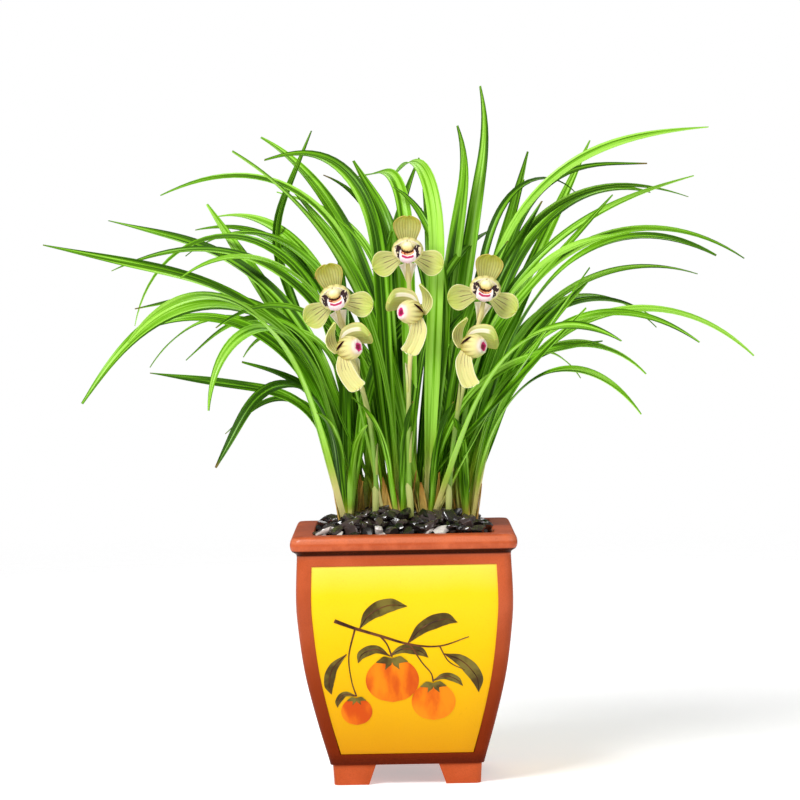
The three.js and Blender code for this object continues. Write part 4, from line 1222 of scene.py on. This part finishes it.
def lip_bowl(side, share):
    """A lower flower's lip, seen as a small bowl in the hood's mouth."""
    u, v = side, 2 * share - 1
    x, z = u * np.sqrt(1 - v * v / 2), v * np.sqrt(1 - u * u / 2)
    reach = np.sqrt(x * x + z * z)
    edge = 0.5 * np.sin(5 * np.arctan2(z, x)) * reach**3
    return BOWL_HALF[0] * x, -10.6 - 1.4 * reach**2.5 - edge + 1.6 * reach**8, -0.4 + BOWL_HALF[1] * z


def petal_gap(out):
    """The gap over a lower flower's hood, between its two petals: a dark sheet on its seam, the throat's
    marks and painted shade.
    """
    rows = smooth_course(GAP_LINE, 40)

    def shape(side, share):
        half = GAP_HALF * np.sin(math.pi * np.clip(share, 0.01, 0.99)) ** 0.7
        x, y, z = at_share(rows, share) + np.array(GAP_ACROSS)[:, None] * side * half
        wide, deep, high = LOWER_HOOD[0]
        grow = 1.06 / np.sqrt((x / wide) ** 2 + (y / deep) ** 2 + (z / high) ** 2)
        return out * x * grow, y * grow, z * grow
    return shape


def upper_flower(name):
    """Pieces of a flower that faces the front, with their finishes, in the flower's own place."""
    yield thicken(sheet(f"{name}_top_sepal", 18, 22, top_sepal), SEPAL_THICK), top_tissue
    for word, out in (("right", 1), ("left", -1)):
        yield thicken(sheet(f"{name}_{word}_sepal", 18, 22, side_sepal(out)), SEPAL_THICK), side_tissue
        yield thicken(sheet(f"{name}_{word}_lobe", 8, 12, side_lobe(out)), LOBE_THICK), lobe_skin
    yield hood_petals(f"{name}_hood", *UPPER_HOOD), None
    yield thicken(sheet(f"{name}_inner_petals", 20, 14, inner_petals), 0.5), brow_skin
    yield column(f"{name}_column"), column_skin
    yield thicken(sheet(f"{name}_lip", 14, 24, lip_point), LIP_THICK), lip_skin


def lower_flower(name, out):
    """Pieces of a flower seen from its side, which faces right (1) or left (-1)."""
    horn = sepal_along([(0, 12.5, -2), (0, 17, 5), (0, 17.6, 12), (0, 14.5, 19), (0, 8.5, 25.5)],
                       [(1, -0.35, 0)] * 5, (3.5, 5.8, 6, 4.6, 2.6), 2, 0, out)
    arch = sepal_along([(3, 11, 2), (8, 6, 8), (11, -1, 9.5), (11.5, -9, 8.5), (9.5, -16, 6.5)],
                       [(-0.2, 0, 1), (-0.35, 0, 1), (-0.35, 0, 1), (-0.25, 0.1, 1), (-0.1, 0.2, 1)],
                       (3.5, 8, 10, 10.6, 8.6), 4, 0, out)
    hanging = sepal_along([(-5, 5.3, -5), (-8, 4.6, -15), (-9, 1.4, -26), (-8, -4.4, -37)],
                          [(0.47, -0.88, -0.1)] * 3 + [(0.43, -0.8, 0.35)], (4.4, 7.4, 8.4, 8), -2.6, 1, out,
                          0.9)
    for word, shape, finish in (("top", horn, side_tissue), ("far", arch, arch_tissue),
                                ("near", hanging, hanging_tissue)):
        yield thicken(sheet(f"{name}_{word}_sepal", 18, 26, shape), SEPAL_THICK), finish
    towards_front = Matrix.Rotation(math.radians(-LOWER_TURN * out), 4, "Z")
    hood = hood_petals(f"{name}_hood", *LOWER_HOOD)
    hood.data.transform(towards_front)
    yield hood, None
    yield thicken(sheet(f"{name}_gap", 4, 20, petal_gap(out)), 0.3), gap_marks_and_shade
    bowl = sheet(f"{name}_lip", 14, 14, lip_bowl)
    bowl.data.transform(towards_front)
    u, v = (grid.ravel() for grid in np.meshgrid(np.linspace(-1, 1, 15), np.linspace(-1, 1, 15)))
    mark_points(bowl.data, "reach", np.sqrt(u * u * (1 - v * v / 2) + v * v * (1 - u * u / 2)))
    yield thicken(bowl, LIP_THICK), bowl_skin


def stalk_radius(share):
    """A stalk's radius, thickest in the middle."""
    return 1.7 + 0.6 * np.sin(math.pi * np.clip(share, 0, 1))


for name, (spike, centre, turn, lean, nod, share) in FLOWERS.items():
    place = (Matrix.Translation(Vector(centre) * MM) @ Matrix.Rotation(math.radians(turn), 4, "Z")
             @ Matrix.Rotation(math.radians(lean), 4, "Y") @ Matrix.Rotation(math.radians(nod), 4, "X"))
    node = "flower_" + name
    for made, finish in lower_flower(name, math.copysign(1, turn)) if turn else upper_flower(name):
        made.data.transform(place)
        settle(made, "petal", finish, node)
    line = spike_lines[spike]
    foot = len(line) - 1 if share == 1 else share_of(line, share)
    back = np.array(place @ Vector((0, 4 * MM, 0))) / MM
    behind = np.array(place @ Vector((0, 11 * MM, -1 * MM))) / MM
    before = line[foot] + 7 * frames_along(line)[0][foot]
    t = np.linspace(0, 1, 24)[:, None]
    curve = (1 - t) ** 3 * line[foot] + 3 * (1 - t) ** 2 * t * before
    curve = curve + 3 * (1 - t) * t**2 * behind + t**3 * back
    settle(round_stem(f"{name}_stalk", curve, stalk_radius, 0.06), "petal", stem_skin, node)
    if turn:
        bract_on(f"{name}_bract", line, share - 0.02, 270, 15, 2.4, 5)
    else:
        bract_on(f"{name}_bract", line, 0.94, 270, 17, 2.3, 6.4, 0.72)


# ---------------------------------------------------------------------------- studio
# A plain pale floor under soft, even light, and the camera at the photograph's angle: almost
# level with the plant, a little tipped down and turned by one degree.
CAMERA_PLACE = (-1, -2800, 446.5)
FOCAL = 3091
PICTURE_SIDE = 800
SENSOR = 36
PITCH = math.atan(118 / FOCAL)
ROLL = math.radians(1.0)
ROOM_LIGHT = 0.2
FLOOR_GLOW = 0.42
# a lamp: name, place in metres, side of its square in metres, power in watts
LAMPS = [("key", (-1.4, -1.9, 2.7), 1.3, 107), ("fill", (2.2, -1.9, 1.2), 1.6, 18),
         ("back", (0.4, 2.2, 2.4), 1.6, 20)]
LAMP_AIM = (0, 0, 0.35)

floor = begin("floor", bpy.ops.mesh.primitive_circle_add, vertices=96, radius=4, fill_type="NGON")
pale = Finish("pale_floor", Roughness=0.8, Specular_IOR_Level=0.1, Emission_Color=(1, 1, 1, 1),
              Emission_Strength=FLOOR_GLOW)
pale.set("Base Color", pale.place.noise(40, 2).blend((0.9, 0.9, 0.9, 1), (0.94, 0.94, 0.94, 1)))
far = pale.place.node("ShaderNodeVectorMath", {"operation": "LENGTH"}, {0: pale.place}, "Value")
pale.set("Alpha", far.below(0.9, 2.8))
floor.data.materials.append(pale.material)

scene = bpy.context.scene
world = bpy.data.worlds.new("studio")
scene.world = world
world.use_nodes = True
backdrop = world.node_tree.nodes["Background"]
backdrop.inputs["Color"].default_value = (1, 1, 1, 1)
seen = Shade(world.node_tree).node("ShaderNodeLightPath")
world.node_tree.links.new((seen * (1 - ROOM_LIGHT) + ROOM_LIGHT).socket, backdrop.inputs["Strength"])
for name, place, size, power in LAMPS:
    lamp = bpy.data.lights.new(name, "AREA")
    lamp.size, lamp.energy = size, power
    lit = bpy.data.objects.new(name, lamp)
    lit.location = place
    lit.rotation_mode = "QUATERNION"
    lit.rotation_quaternion = (Vector(place) - Vector(LAMP_AIM)).to_track_quat("Z", "Y")
    scene.collection.objects.link(lit)
scene.view_settings.view_transform = "Standard"

eye = bpy.data.cameras.new("camera")
eye.lens = FOCAL * SENSOR / PICTURE_SIDE
eye.sensor_width = SENSOR
eye.clip_start, eye.clip_end = 0.05, 100
camera = bpy.data.objects.new("camera", eye)
forward = Vector((0, math.cos(PITCH), -math.sin(PITCH)))
level_up = Vector((0, math.sin(PITCH), math.cos(PITCH)))
level_right = Vector((1, 0, 0))
right = level_right * math.cos(ROLL) - level_up * math.sin(ROLL)
up = level_right * math.sin(ROLL) + level_up * math.cos(ROLL)
aim = Matrix((right, up, -forward)).transposed().to_4x4()
camera.matrix_world = Matrix.Translation(Vector(CAMERA_PLACE) * MM) @ aim
scene.collection.objects.link(camera)
scene.camera = camera
